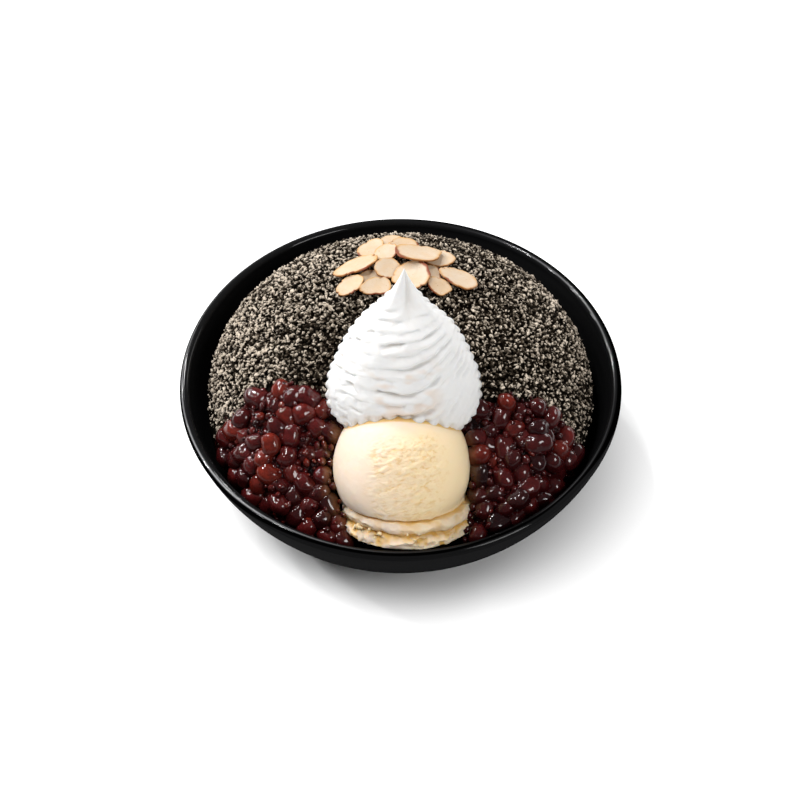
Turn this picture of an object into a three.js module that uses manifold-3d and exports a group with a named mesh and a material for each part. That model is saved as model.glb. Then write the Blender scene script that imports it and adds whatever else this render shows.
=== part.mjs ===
// Black sesame bingsu in its bowl: a mound of shaved ice under a coat of ground sesame, with two heaps
// of sweet red beans, a scoop of ice cream, a swirl of whipped cream and a pile of almond flakes.
// Millimetres, +Z up, origin on the table under the middle of the bowl. The scoop faces -Y.
import * as THREE from 'three';
import { ConvexHull } from 'three/addons/math/ConvexHull.js';
import { mergeVertices } from 'three/addons/utils/BufferGeometryUtils.js';
import Module from 'manifold-3d';

const wasm = await Module();
wasm.setup();

// ---- Driving dimensions ----------------------------------------------------------------------
const GAP = 0.35;

const BOWL = {
  segments: 40,
  rimRadius: 100,
  rimHeight: 58,
  crestHeight: 59.3,
  crestRadius: 96.4,
  baseRadius: 45,
  baseHeight: 6,
  depthPower: 1.28,
  sweepPower: 2.58,
  wall: 4.5,
  wallSteps: 7,
  footOuter: 49.4,
  footInner: 44.4,
  recessHeight: 4.2,
};

const MOUND = {
  contactHeight: 40.5,
  apexHeight: 92.6,
  roundness: 2.5,
  slopeStart: 30,
  slopeTop: 86.5,
  slope: 0.7,
  bedDrop: 8.5,
  bedEdgeLeft: 27,
  bedEdgeRight: 33,
  bedEdgeHalfWidth: 30,
  bedBlend: 5,
  edgeSlope: 0.5,
  seatRise: 14,
  seatBlend: 5,
  grainStep: 3.5,
  coveredStep: 9,
  coveredMargin: 3,
  grainDepth: 1.5,
};

const SCOOP = {
  radius: 29.6,
  centre: new THREE.Vector3(0.3, -56, 64),
  lean: THREE.MathUtils.degToRad(27),
  neckDepth: 15.5,
  neckRadius: 24.0,
  collarRadius: 26.8,
  baseDepth: 27,
  seatWidth: 18.8,
  seatFade: 9,
  raggedness: 1.1,
  segments: 24,
};

const CREAM = {
  centre: new THREE.Vector3(1.4, -31, 81),
  lean: THREE.MathUtils.degToRad(18),
  height: 62.5,
  skirt: 15,
  footAcross: 28,
  footDeep: 23,
  footMiddle: 28,
  frontDepth: 0.78,
  backDepth: 0.9,
  ridgePitch: 5.1,
  starts: 4,
  ridgeDepth: 1.7,
  columns: 22,
};

const BEANS = {
  length: 11.2,
  width: 8.8,
  spread: 0.12,
  spacing: 7.7,
  coreDepth: 1.6,
  coreRadius: 87.5,
  innerLeft: 24.5,
  innerRight: 27.5,
  count: 26,
  reach: 66,
  sunk: 2.6,
  wallSpace: 1.6,
  scoopSpace: 0.8,
  creamHalfWidth: 33,
  creamFront: 44,
};

const FLAKE = {
  thickness: 0.9,
  sides: 10,
  dish: 0.5,
  sharpness: 0.12,
  spaceLong: 1.1,
  spaceWide: 1.4,
};

// ---- Small helpers ---------------------------------------------------------------------------
function makeRandom(seed) {
  let state = seed;
  return () => {
    state = (state * 16807) % 2147483647;
    return state / 2147483647;
  };
}

function smooth(value) {
  const t = THREE.MathUtils.clamp(value, 0, 1);
  return t * t * (3 - 2 * t);
}

/** A closed manifold solid from any closed geometry, turned so that its faces point outwards. */
function toSolid(geometry) {
  const bare = new THREE.BufferGeometry();
  bare.setAttribute('position', geometry.getAttribute('position'));
  if (geometry.index) {
    bare.setIndex(geometry.index);
  }
  const merged = mergeVertices(bare, 1e-4);
  const positions = Float32Array.from(merged.getAttribute('position').array);
  const source = merged.index.array;
  const corners = [];
  let volume = 0;
  const [a, b, c] = [new THREE.Vector3(), new THREE.Vector3(), new THREE.Vector3()];
  for (let i = 0; i < source.length; i += 3) {
    const [p, q, r] = [source[i], source[i + 1], source[i + 2]];
    if (p === q || q === r || r === p) {
      continue;
    }
    corners.push(p, q, r);
    a.fromArray(positions, 3 * p);
    b.fromArray(positions, 3 * q);
    c.fromArray(positions, 3 * r);
    volume += a.dot(b.cross(c));
  }
  const triVerts = Uint32Array.from(corners);
  if (volume < 0) {
    for (let i = 0; i < triVerts.length; i += 3) {
      [triVerts[i], triVerts[i + 1]] = [triVerts[i + 1], triVerts[i]];
    }
  }
  return new wasm.Manifold(new wasm.Mesh({ numProp: 3, vertProperties: positions, triVerts }));
}

/** The solid's largest connected piece as a geometry. */
function toGeometry(solid) {
  const pieces = solid.decompose();
  const whole = pieces.reduce((best, piece) => (piece.volume() > best.volume() ? piece : best));
  const mesh = whole.getMesh();
  const geometry = new THREE.BufferGeometry();
  geometry.setAttribute('position', new THREE.BufferAttribute(Float32Array.from(mesh.vertProperties), 3));
  geometry.setIndex([...mesh.triVerts]);
  geometry.computeVertexNormals();
  return geometry;
}

/** A body turned about +Z from [radius, height] pairs that start and end on the axis. */
function turned(profile, segments) {
  const points = profile.map(([radius, height]) => new THREE.Vector2(radius, height));
  return new THREE.LatheGeometry(points, segments).rotateX(Math.PI / 2);
}

/** A point of a closed skin, with the direction in which it lies seen from inside the body. */
function skinPoint(position, polar, turn) {
  return { position, direction: new THREE.Vector3().setFromSphericalCoords(1, polar, turn) };
}

/** A closed skin over scattered points: the hull of their directions says which are neighbours. */
function skinOver(points) {
  const order = new Map(points.map((point, i) => [point.direction, i]));
  const hull = new ConvexHull().setFromPoints(points.map((point) => point.direction));
  const index = [];
  for (const face of hull.faces) {
    let edge = face.edge;
    do {
      index.push(order.get(edge.head().point));
      edge = edge.next;
    } while (edge !== face.edge);
  }
  const geometry = new THREE.BufferGeometry();
  const positions = points.flatMap((point) => point.position.toArray());
  geometry.setAttribute('position', new THREE.Float32BufferAttribute(positions, 3));
  geometry.setIndex(index);
  return geometry;
}

// ---- Bowl ------------------------------------------------------------------------------------
/** Wall point at share `t` of the sweep from the rim (0) to the base (1), `inset` in from the outside. */
function wallPoint(t, inset) {
  const at = (share) => {
    const angle = share * (Math.PI / 2);
    const depth = (BOWL.rimHeight - BOWL.baseHeight) * Math.sin(angle) ** (2 / BOWL.depthPower);
    const reach = Math.max(Math.cos(angle), 0) ** (2 / BOWL.sweepPower);
    const radius = BOWL.baseRadius + (BOWL.rimRadius - BOWL.baseRadius) * reach;
    return new THREE.Vector2(radius, BOWL.rimHeight - depth);
  };
  const small = 1e-3;
  const run = at(Math.min(t + small, 1)).sub(at(Math.max(t - small, 0))).normalize();
  return at(t).add(new THREE.Vector2(run.y, -run.x).multiplyScalar(inset));
}

/** Inner radius of the bowl at a height, read along the straight steps of its wall. */
function innerRadius(height) {
  for (let i = 1; i <= BOWL.wallSteps; i += 1) {
    const low = wallPoint(i / BOWL.wallSteps, BOWL.wall);
    if (low.y <= height) {
      const high = wallPoint((i - 1) / BOWL.wallSteps, BOWL.wall);
      return THREE.MathUtils.mapLinear(height, low.y, high.y, low.x, high.x);
    }
  }
  return wallPoint(1, BOWL.wall).x;
}

const floorHeight = BOWL.baseHeight + BOWL.wall;

function bowlGeometry() {
  const outside = [];
  const inside = [];
  for (let i = 0; i <= BOWL.wallSteps; i += 1) {
    const outer = wallPoint(i / BOWL.wallSteps, 0);
    if (outer.x > BOWL.footOuter + 1) {
      outside.unshift([outer.x, outer.y]);
    }
    const inner = wallPoint(i / BOWL.wallSteps, BOWL.wall);
    inside.push([inner.x, Math.min(inner.y, BOWL.rimHeight)]);
  }
  const lip = [
    [BOWL.rimRadius - 0.5, BOWL.rimHeight + 0.7],
    [BOWL.crestRadius, BOWL.crestHeight],
    [inside[0][0] + 0.3, BOWL.crestHeight - 0.4],
  ];
  const foot = [
    [0, BOWL.recessHeight],
    [BOWL.footInner - 0.6, BOWL.recessHeight],
    [BOWL.footInner, 0],
    [BOWL.footOuter - 0.8, 0],
    [BOWL.footOuter, BOWL.baseHeight + 0.3],
  ];
  return turned([...foot, ...outside, ...lip, ...inside, [0, floorHeight]], BOWL.segments);
}

/** The room inside the bowl, kept a gap off its wall and open upwards. */
function roomInBowl() {
  const profile = [[0, floorHeight + GAP]];
  for (let i = BOWL.wallSteps; i >= 0; i -= 1) {
    const point = wallPoint(i / BOWL.wallSteps, BOWL.wall + GAP);
    profile.push([point.x, Math.min(point.y, BOWL.rimHeight)]);
  }
  const ceiling = 180;
  profile.push([profile.at(-1)[0], ceiling], [0, ceiling]);
  return toSolid(turned(profile, BOWL.segments));
}

// ---- Mound of shaved ice ---------------------------------------------------------------------
const moundRadius = innerRadius(MOUND.contactHeight) - 1.1 * GAP;

function domeHeight(radius) {
  const share = THREE.MathUtils.clamp(radius / moundRadius, 0, 1);
  const rise = (1 - share ** MOUND.roundness) ** (1 / MOUND.roundness);
  return MOUND.contactHeight + (MOUND.apexHeight - MOUND.contactHeight) * rise;
}

/** The finished outside of the mound and its bean heaps: a dome with its front pressed to a slope. */
function coverHeight(x, y) {
  const slope = MOUND.slopeTop - MOUND.slope * (-y - MOUND.slopeStart);
  return Math.min(domeHeight(Math.hypot(x, y)), slope);
}

/** Distance in front of the middle at which the ice steps down to the bed that the beans lie in. */
function bedEdge(x) {
  const across = smooth((x / MOUND.bedEdgeHalfWidth + 1) / 2);
  return THREE.MathUtils.lerp(MOUND.bedEdgeLeft, MOUND.bedEdgeRight, across);
}

/** Top of the ice: as the cover, but lower where beans, scoop and cream lie on it. */
function iceHeight(x, y) {
  const drop = MOUND.bedDrop * smooth((-y - bedEdge(x)) / MOUND.bedBlend);
  const bed = coverHeight(x, y) - drop;
  const seat = seatHeight(x, y);
  const toWall = moundRadius - Math.hypot(x, y);
  const edge = MOUND.contactHeight + MOUND.edgeSlope * toWall;
  const seatLimit = edge + MOUND.seatRise * smooth(toWall / MOUND.seatBlend);
  return Math.max(bed, Math.min(seat, seatLimit), edge);
}

/** Ice packed up under the front of the scoop, as a ramp that its flat base rests on. */
function seatHeight(x, y) {
  const under = new THREE.Vector2(
    -SCOOP.centre.y + SCOOP.baseDepth * Math.sin(SCOOP.lean),
    SCOOP.centre.z - SCOOP.baseDepth * Math.cos(SCOOP.lean),
  );
  const ramp = under.y + 1 + Math.tan(SCOOP.lean) * (-y - under.x);
  const side = smooth((Math.abs(x) - SCOOP.seatWidth) / SCOOP.seatFade);
  return THREE.MathUtils.lerp(ramp, MOUND.contactHeight, side);
}

/** Whether a place on the ice lies under the beans, the scoop or the cream, by at least `margin`. */
function isCovered(x, y, margin) {
  const across = (x - CREAM.centre.x) / (CREAM.footAcross - margin);
  const along = (y + CREAM.footMiddle) / (CREAM.footDeep - margin);
  return Math.hypot(across, along) < 1 || y < -bedEdge(x) - 1.5 - margin;
}

/** A place on the ice's top, sunk by a depth square to the surface. */
function icePoint(radius, turn, sunk, lift) {
  const [x, y] = [radius * Math.cos(turn), radius * Math.sin(turn)];
  const reach = 0.5;
  const normal = new THREE.Vector3(
    iceHeight(x - reach, y) - iceHeight(x + reach, y),
    iceHeight(x, y - reach) - iceHeight(x, y + reach),
    2 * reach,
  ).normalize();
  return new THREE.Vector3(x, y, iceHeight(x, y) + lift).addScaledVector(normal, -sunk);
}

/** Radii of rings that stand a step apart along the dome's curve, from its top to the bowl's wall. */
function ringRadii(step) {
  const radii = [];
  const fine = 600;
  let travelled = 0;
  let previous = new THREE.Vector2(0, domeHeight(0));
  for (let i = 1; i <= fine; i += 1) {
    const radius = moundRadius * 0.9945 * Math.sin((i / fine) * (Math.PI / 2));
    const point = new THREE.Vector2(radius, domeHeight(radius));
    travelled += point.distanceTo(previous);
    previous = point;
    if (travelled >= step) {
      travelled = 0;
      radii.push(radius);
    }
  }
  return radii;
}

/** The ice: grains stand out of its open top, and it is plain and coarse where it is covered. */
function iceGeometry(lift, grainDepth) {
  const random = makeRandom(20411);
  const points = [skinPoint(new THREE.Vector3(0, 0, iceHeight(0, 0) + lift), 0, 0)];
  const scatter = (step, depth, wanted) => {
    ringRadii(step * 0.87).forEach((radius, k, all) => {
      const count = Math.max(6, Math.round((2 * Math.PI * radius) / step));
      for (let i = 0; i < count; i += 1) {
        const shift = 0.5 * (k % 2) + 0.3 * (random() - 0.5);
        const turn = ((i + shift) * 2 * Math.PI) / count;
        const sunk = depth * (random() < 0.5 ? 0.15 * random() : 0.6 + 0.4 * random());
        if (wanted(radius * Math.cos(turn), radius * Math.sin(turn))) {
          const polar = ((k + 1) / (all.length + 1)) * (Math.PI / 2);
          points.push(skinPoint(icePoint(radius, turn, sunk, lift), polar, turn));
        }
      }
    });
  };
  scatter(MOUND.grainStep, grainDepth, (x, y) => !isCovered(x, y, 0));
  scatter(MOUND.coveredStep, 0, (x, y) => isCovered(x, y, MOUND.coveredMargin));
  const under = [new THREE.Vector2(moundRadius, MOUND.contactHeight)];
  for (let i = 1; i <= BOWL.wallSteps; i += 1) {
    const point = wallPoint(i / BOWL.wallSteps, BOWL.wall + GAP);
    if (point.y < MOUND.contactHeight - 1) {
      under.push(point);
    }
  }
  under.forEach((point, k) => {
    for (let i = 0; i < BOWL.segments; i += 1) {
      const turn = (i * 2 * Math.PI) / BOWL.segments;
      const place = new THREE.Vector3(point.x * Math.cos(turn), point.x * Math.sin(turn), point.y);
      points.push(skinPoint(place, (Math.PI / 2) * (1 + k / under.length), turn));
    }
  });
  points.push(skinPoint(new THREE.Vector3(0, 0, floorHeight + GAP), Math.PI, 0));
  return skinOver(points);
}

// ---- Scoop of ice cream ----------------------------------------------------------------------
/** Profile of the scoop in its own frame, its ball centred on the origin, `grow` larger all round. */
function scoopProfile(grow) {
  const radius = SCOOP.radius + grow;
  const profile = [[0, radius]];
  const neckAngle = Math.asin(SCOOP.neckDepth / SCOOP.radius);
  const steps = 8;
  for (let i = 1; i <= steps; i += 1) {
    const angle = Math.PI / 2 - ((Math.PI / 2 + neckAngle) * i) / steps;
    profile.push([radius * Math.cos(angle), radius * Math.sin(angle)]);
  }
  profile.push(
    [SCOOP.neckRadius + grow, -SCOOP.neckDepth - 2.2],
    [SCOOP.collarRadius - 0.6 + grow, -SCOOP.neckDepth - 4.6],
    [SCOOP.neckRadius + 1.4 + grow, -SCOOP.neckDepth - 6.8],
    [SCOOP.collarRadius + grow, -SCOOP.baseDepth + 2.6],
    [SCOOP.collarRadius - 1.6 + grow, -SCOOP.baseDepth - grow],
    [0, -SCOOP.baseDepth - grow],
  );
  return profile;
}

function placeScoop(geometry) {
  geometry.rotateX(-SCOOP.lean);
  geometry.translate(SCOOP.centre.x, SCOOP.centre.y, SCOOP.centre.z);
  return geometry;
}

function scoopGeometry() {
  const random = makeRandom(7193);
  const geometry = mergeOnly(turned(scoopProfile(0), SCOOP.segments));
  const position = geometry.getAttribute('position');
  for (let i = 0; i < position.count; i += 1) {
    const height = position.getZ(i);
    const ragged = height < -SCOOP.neckDepth && height > -SCOOP.baseDepth + 0.1;
    const shrink = 1 - (ragged ? SCOOP.raggedness : 0.25) * (random() / SCOOP.radius);
    position.setX(i, position.getX(i) * shrink);
    position.setY(i, position.getY(i) * shrink);
    if (ragged) {
      position.setZ(i, height + 0.9 * (random() - 0.5));
    }
  }
  return placeScoop(geometry);
}

/** The geometry with its shared vertices merged, so that moving one keeps the skin closed. */
function mergeOnly(geometry) {
  geometry.deleteAttribute('normal');
  geometry.deleteAttribute('uv');
  return mergeVertices(geometry, 1e-4);
}

// ---- Whipped cream ---------------------------------------------------------------------------
const creamOutline = new THREE.SplineCurve(
  [
    [23, -CREAM.skirt],
    [31, -7],
    [33.4, 0],
    [32, 11],
    [27.4, 23],
    [21.6, 34.5],
    [14.2, 43.5],
    [6.8, 51],
    [2.6, 57],
    [0, CREAM.height],
  ].map(([radius, height]) => new THREE.Vector2(radius, height)),
);

/** Radius of the swirl at a height, read from its outline. */
function creamRadius(height) {
  const steps = 240;
  for (let i = 1; i <= steps; i += 1) {
    const upper = creamOutline.getPoint(i / steps);
    if (upper.y >= height) {
      const lower = creamOutline.getPoint((i - 1) / steps);
      return Math.max(0, THREE.MathUtils.mapLinear(height, lower.y, upper.y, lower.x, upper.x));
    }
  }
  return 0;
}

function placeCream(geometry) {
  const position = geometry.getAttribute('position');
  for (let i = 0; i < position.count; i += 1) {
    const y = position.getY(i);
    position.setY(i, y * (y < 0 ? CREAM.frontDepth : CREAM.backDepth));
  }
  geometry.rotateX(-CREAM.lean);
  geometry.translate(CREAM.centre.x, CREAM.centre.y, CREAM.centre.z);
  return geometry;
}

/** A piped swirl: rows follow the ridges, which climb as helices from several starts. */
function creamGeometry() {
  const positions = [];
  const index = [];
  const total = CREAM.height + CREAM.skirt;
  const firstRow = -2 * CREAM.starts;
  const rows = Math.ceil((2 * total) / CREAM.ridgePitch) - firstRow + 1;
  for (let row = 0; row < rows; row += 1) {
    for (let column = 0; column <= CREAM.columns; column += 1) {
      const share = column / CREAM.columns;
      const climb = CREAM.ridgePitch * ((firstRow + row) / 2 + CREAM.starts * share);
      const height = THREE.MathUtils.clamp(climb, 0, total) - CREAM.skirt;
      const outline = creamRadius(height);
      const groove = row % 2 === 0 || climb <= 0 ? 0 : Math.min(CREAM.ridgeDepth, 0.3 * outline);
      const radius = outline - groove;
      const angle = (column % CREAM.columns) * ((2 * Math.PI) / CREAM.columns);
      positions.push(radius * Math.cos(angle), radius * Math.sin(angle), height);
    }
  }
  const across = CREAM.columns + 1;
  for (let row = 0; row + 1 < rows; row += 1) {
    for (let column = 0; column < CREAM.columns; column += 1) {
      const corner = row * across + column;
      index.push(corner, corner + 1, corner + across + 1, corner, corner + across + 1, corner + across);
    }
  }
  const geometry = new THREE.BufferGeometry();
  geometry.setAttribute('position', new THREE.Float32BufferAttribute(positions, 3));
  geometry.setIndex(index);
  return geometry;
}

/** A smooth body that holds the swirl with a gap round it. */
function creamEnvelope() {
  const profile = [[0, -CREAM.skirt - GAP]];
  for (let i = 0; i <= 10; i += 1) {
    const height = -CREAM.skirt - GAP + (i / 10) * (CREAM.height + CREAM.skirt);
    profile.push([creamRadius(Math.max(height, -CREAM.skirt)) + 3 * GAP, height]);
  }
  profile.push([0, CREAM.height + 2]);
  return toSolid(placeCream(turned(profile, 32)));
}

// ---- Build: ice, scoop, cream ----------------------------------------------------------------
const room = roomInBowl();
const scoopPocket = toSolid(placeScoop(turned(scoopProfile(1.3 * GAP), 24)));
const ice = toSolid(iceGeometry(0, MOUND.grainDepth)).subtract(scoopPocket);
const iceClear = toSolid(iceGeometry(1.2 * GAP, 0));
const scoop = toSolid(scoopGeometry());

function creamSolid() {
  const swirl = closeEnds(creamGeometry());
  return toSolid(placeCream(swirl)).subtract(iceClear).subtract(scoopPocket);
}

/** Caps the swirl's flat underside: its lowest ring of points is joined to one in the middle. */
function closeEnds(geometry) {
  const merged = mergeOnly(geometry);
  const position = merged.getAttribute('position');
  const ring = [];
  for (let i = 0; i < position.count; i += 1) {
    if (Math.abs(position.getZ(i) + CREAM.skirt) < 1e-4) {
      ring.push({ i, turn: Math.atan2(position.getY(i), position.getX(i)) });
    }
  }
  ring.sort((a, b) => a.turn - b.turn);
  const positions = [...position.array, 0, 0, -CREAM.skirt];
  const index = [...merged.index.array];
  ring.forEach((point, k) => index.push(position.count, ring[(k + 1) % ring.length].i, point.i));
  const closed = new THREE.BufferGeometry();
  closed.setAttribute('position', new THREE.Float32BufferAttribute(positions, 3));
  closed.setIndex(index);
  return closed;
}

const cream = creamSolid();

// ---- Red beans -------------------------------------------------------------------------------
/** One bean as a coarse ellipsoid. */
function beanGeometry(size, turn, place) {
  const bean = new THREE.SphereGeometry(0.5, 6, 4);
  bean.scale(BEANS.length * size, BEANS.width * size, BEANS.width * size * 0.92);
  bean.rotateX(turn.x);
  bean.rotateY(turn.y);
  bean.rotateZ(turn.z);
  bean.translate(place.x, place.y, place.z);
  return bean;
}

/** Places for the beans of one heap, thrown at random and kept a bean apart and off what is round them. */
function beanPlaces(side, random) {
  const places = [];
  const half = BEANS.width / 2;
  const inner = side < 0 ? BEANS.innerLeft : BEANS.innerRight;
  for (let tries = 0; tries < 6000 && places.length < BEANS.count; tries += 1) {
    const x = side * (inner + 3 + BEANS.reach * random());
    const y = -THREE.MathUtils.lerp(bedEdge(x) + 0.5 * half, moundRadius, random());
    const place = new THREE.Vector3(x, y, coverHeight(x, y) - BEANS.sunk);
    const toWall = innerRadius(Math.min(place.z, BOWL.rimHeight)) - Math.hypot(x, y);
    const toScoop = place.distanceTo(SCOOP.centre) - SCOOP.radius;
    const besideCream = Math.abs(x - CREAM.centre.x) > BEANS.creamHalfWidth || y < -BEANS.creamFront;
    const inside = toWall > half + BEANS.wallSpace && toScoop > half + BEANS.scoopSpace;
    if (besideCream && inside && places.every((other) => other.distanceTo(place) > BEANS.spacing)) {
      places.push(place);
    }
  }
  return places;
}

/** A heap of beans: a plain core with the beans that show fused onto it. */
function beanHeap(side, seed) {
  const random = makeRandom(seed);
  const points = [skinPoint(new THREE.Vector3(0, 0, coverHeight(0, 0) - BEANS.coreDepth), 0, 0)];
  const rings = 10;
  const around = BOWL.segments / 2;
  for (let k = 1; k <= rings; k += 1) {
    for (let i = 0; i < around; i += 1) {
      const turn = ((i + 0.5 * (k % 2)) * 2 * Math.PI) / around;
      const [x, y] = [Math.cos(turn), Math.sin(turn)].map((part) => (part * BEANS.coreRadius * k) / rings);
      const place = new THREE.Vector3(x, y, coverHeight(x, y) - BEANS.coreDepth);
      points.push(skinPoint(place, (k / rings) * (Math.PI / 2), turn));
    }
  }
  points.push(skinPoint(new THREE.Vector3(0, 0, floorHeight), Math.PI, 0));
  const cover = toSolid(skinOver(points));
  const inner = side < 0 ? BEANS.innerLeft : BEANS.innerRight;
  const width = moundRadius - inner;
  const edge = bedEdge(side * moundRadius) + 1;
  const box = new THREE.BoxGeometry(width, moundRadius - edge, 120);
  box.translate(side * (inner + width / 2), -(edge + moundRadius) / 2, 60);
  let heap = cover.intersect(toSolid(box));
  for (const place of beanPlaces(side, random)) {
    const size = 1 + BEANS.spread * (2 * random() - 1);
    const turn = new THREE.Vector3(0.9 * (random() - 0.5), 0.9 * (random() - 0.5), Math.PI * random());
    heap = heap.add(toSolid(beanGeometry(size, turn, place)));
  }
  return heap.intersect(room).subtract(iceClear).subtract(scoopPocket).subtract(creamEnvelope());
}

// ---- Almond flakes ---------------------------------------------------------------------------
// x, y of the middle, length, width, turn of the long side from +X in degrees, in the order they fell.
const FLAKES = [
  [-4.3, 56.5, 11, 10, 10],
  [-13.4, 50, 11.1, 12.8, 150],
  [1.4, 49.6, 13.5, 12.6, 8],
  [-6.2, 43.6, 11, 10, 20],
  [17.2, 42.5, 14.6, 11.8, 12],
  [-13, 28, 10.6, 9.9, 25],
  [12.6, 30.3, 11.2, 11.3, 160],
  [-22.4, 23, 13, 9, 35],
  [-11.1, 20.4, 13.7, 8.1, 20],
  [-5.9, 32.1, 12, 10.5, 35],
  [17.1, 21.9, 10.8, 8, 150],
  [4.5, 26.5, 15.5, 15, 8],
  [-20.1, 35.5, 19.9, 13.5, 30],
  [8.1, 41, 22, 14, 20],
  [25.7, 27.8, 17.6, 13.5, 150],
];

/** Height of the ice's coat under the flakes. */
function coatHeight(x, y) {
  return domeHeight(Math.hypot(x, y)) + GAP;
}

/** A flake's frame from its middle, long-side turn and the tilts of its plane. */
function flakeFrame([x, y, , , turn], tiltX, tiltY, lift) {
  const matrix = new THREE.Matrix4().makeRotationZ(THREE.MathUtils.degToRad(turn));
  matrix.premultiply(new THREE.Matrix4().makeRotationX(tiltX));
  matrix.premultiply(new THREE.Matrix4().makeRotationY(tiltY));
  matrix.setPosition(x, y, lift);
  return matrix;
}

/** Height of the top of the flakes already placed, over a point, or of the coat. */
function pileHeight(x, y, placed) {
  let height = coatHeight(x, y);
  for (const { inverse, flake, normal, origin } of placed) {
    const onPlane = origin.z - ((x - origin.x) * normal.x + (y - origin.y) * normal.y) / normal.z;
    const local = new THREE.Vector3(x, y, onPlane).applyMatrix4(inverse);
    const across = local.x / (flake[2] / 2 + FLAKE.spaceLong);
    const reach = Math.hypot(across, local.y / (flake[3] / 2 + FLAKE.spaceWide));
    if (reach < 1) {
      const above = FLAKE.thickness / 2 + FLAKE.dish * reach * reach + GAP;
      height = Math.max(height, onPlane + above / normal.z);
    }
  }
  return height;
}

/** Drops a flake on the pile with the tilt, near the coat's own slope, that lets its middle lie lowest. */
function restFlake(flake, placed) {
  let best = null;
  const [x, y] = flake;
  const slopeX = Math.atan(coatHeight(x, y + 0.5) - coatHeight(x, y - 0.5));
  const slopeY = -Math.atan(coatHeight(x + 0.5, y) - coatHeight(x - 0.5, y));
  const step = THREE.MathUtils.degToRad(3);
  for (let i = -4; i <= 4; i += 1) {
    for (let j = -4; j <= 4; j += 1) {
      const flat = flakeFrame(flake, slopeX + i * step, slopeY + j * step, 0);
      let lift = -Infinity;
      for (let k = 0; k < 60; k += 1) {
        const angle = (k * Math.PI) / 10;
        const share = 1 - 0.3 * Math.floor(k / 20);
        const point = new THREE.Vector3(
          (share * flake[2] * Math.cos(angle)) / 2,
          (share * flake[3] * Math.sin(angle)) / 2,
          FLAKE.dish * share * share - FLAKE.thickness / 2,
        ).applyMatrix4(flat);
        lift = Math.max(lift, pileHeight(point.x, point.y, placed) - point.z);
      }
      if (best === null || lift < best.lift) {
        best = { lift, tiltX: slopeX + i * step, tiltY: slopeY + j * step };
      }
    }
  }
  const matrix = flakeFrame(flake, best.tiltX, best.tiltY, best.lift + 0.1);
  const normal = new THREE.Vector3(0, 0, 1).transformDirection(matrix);
  const origin = new THREE.Vector3().setFromMatrixPosition(matrix);
  return { flake, matrix, inverse: matrix.clone().invert(), normal, origin };
}

/** A thin, slightly dished oval slice. */
function flakeGeometry(flake) {
  const disc = new THREE.CylinderGeometry(0.5, 0.47, FLAKE.thickness, FLAKE.sides, 1).rotateX(Math.PI / 2);
  const geometry = mergeOnly(disc);
  const position = geometry.getAttribute('position');
  for (let i = 0; i < position.count; i += 1) {
    const reach = Math.min(1, 2 * Math.hypot(position.getX(i), position.getY(i)));
    const sharpen = 1 - FLAKE.sharpness * position.getX(i);
    position.setXYZ(
      i,
      position.getX(i) * flake[2],
      position.getY(i) * flake[3] * sharpen,
      position.getZ(i) + FLAKE.dish * reach * reach,
    );
  }
  return geometry;
}

// ---- Scene graph -----------------------------------------------------------------------------
const bingsu = new THREE.Group();

function addPiece(name, geometry, finish) {
  const mesh = new THREE.Mesh(geometry, new THREE.MeshStandardMaterial(finish));
  mesh.name = name;
  bingsu.add(mesh);
  return mesh;
}

const GLAZE = { color: 0x111111, roughness: 0.38, metalness: 0 };
const SESAME = { color: 0x57503f, roughness: 0.75, metalness: 0 };
const BEAN = { color: 0x571313, roughness: 0.18, metalness: 0 };
const VANILLA = { color: 0xf2dcb4, roughness: 0.45, metalness: 0 };
const WHIPPED = { color: 0xf6f4f0, roughness: 0.4, metalness: 0 };
const ALMOND = { color: 0xf4d9b4, roughness: 0.55, metalness: 0 };

addPiece('bowl', toGeometry(toSolid(bowlGeometry())), GLAZE);
addPiece('sesame_ice_mound', toGeometry(ice), SESAME);
addPiece('ice_cream_scoop', toGeometry(scoop), VANILLA);
addPiece('whipped_cream', toGeometry(cream), WHIPPED);
addPiece('red_beans_left', toGeometry(beanHeap(-1, 5077)), BEAN);
addPiece('red_beans_right', toGeometry(beanHeap(1, 9241)), BEAN);

const placedFlakes = [];
FLAKES.forEach((flake, i) => {
  const rest = restFlake(flake, placedFlakes);
  placedFlakes.push(rest);
  const piece = addPiece(`almond_flake_${String(i + 1).padStart(2, '0')}`, flakeGeometry(flake), ALMOND);
  piece.applyMatrix4(rest.matrix);
});

export default bingsu;
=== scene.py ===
"""Black sesame bingsu in its black bowl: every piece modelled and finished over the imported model.

Sizes in the classes are millimetres in the model's own frame, with the scoop towards -Y. Meshes are
written in metres.
"""
import logging
import math
from dataclasses import dataclass
from enum import Enum
from typing import Sequence

import bpy
import numpy as np
from mathutils import Euler, Matrix, Vector


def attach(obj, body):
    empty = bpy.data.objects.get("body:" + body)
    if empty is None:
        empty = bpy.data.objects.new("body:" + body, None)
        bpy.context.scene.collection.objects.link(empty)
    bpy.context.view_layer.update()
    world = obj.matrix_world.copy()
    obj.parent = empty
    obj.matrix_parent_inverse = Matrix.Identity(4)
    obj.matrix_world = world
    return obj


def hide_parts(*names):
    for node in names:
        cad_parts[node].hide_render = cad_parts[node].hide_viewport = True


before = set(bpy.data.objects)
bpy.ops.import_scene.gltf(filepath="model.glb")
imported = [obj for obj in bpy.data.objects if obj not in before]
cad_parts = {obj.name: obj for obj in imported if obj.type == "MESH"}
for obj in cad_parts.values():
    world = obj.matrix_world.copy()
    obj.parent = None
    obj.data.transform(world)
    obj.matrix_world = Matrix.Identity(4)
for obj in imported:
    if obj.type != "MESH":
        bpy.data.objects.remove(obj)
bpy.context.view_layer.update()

MM = 0.001
BODY = "root"
log = logging.getLogger("bingsu")

Points = np.ndarray
Colour = tuple[float, float, float]
Place = tuple[float, float, float]
Piece = bpy.types.Object
Node = bpy.types.Node
Socket = bpy.types.NodeSocket


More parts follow.
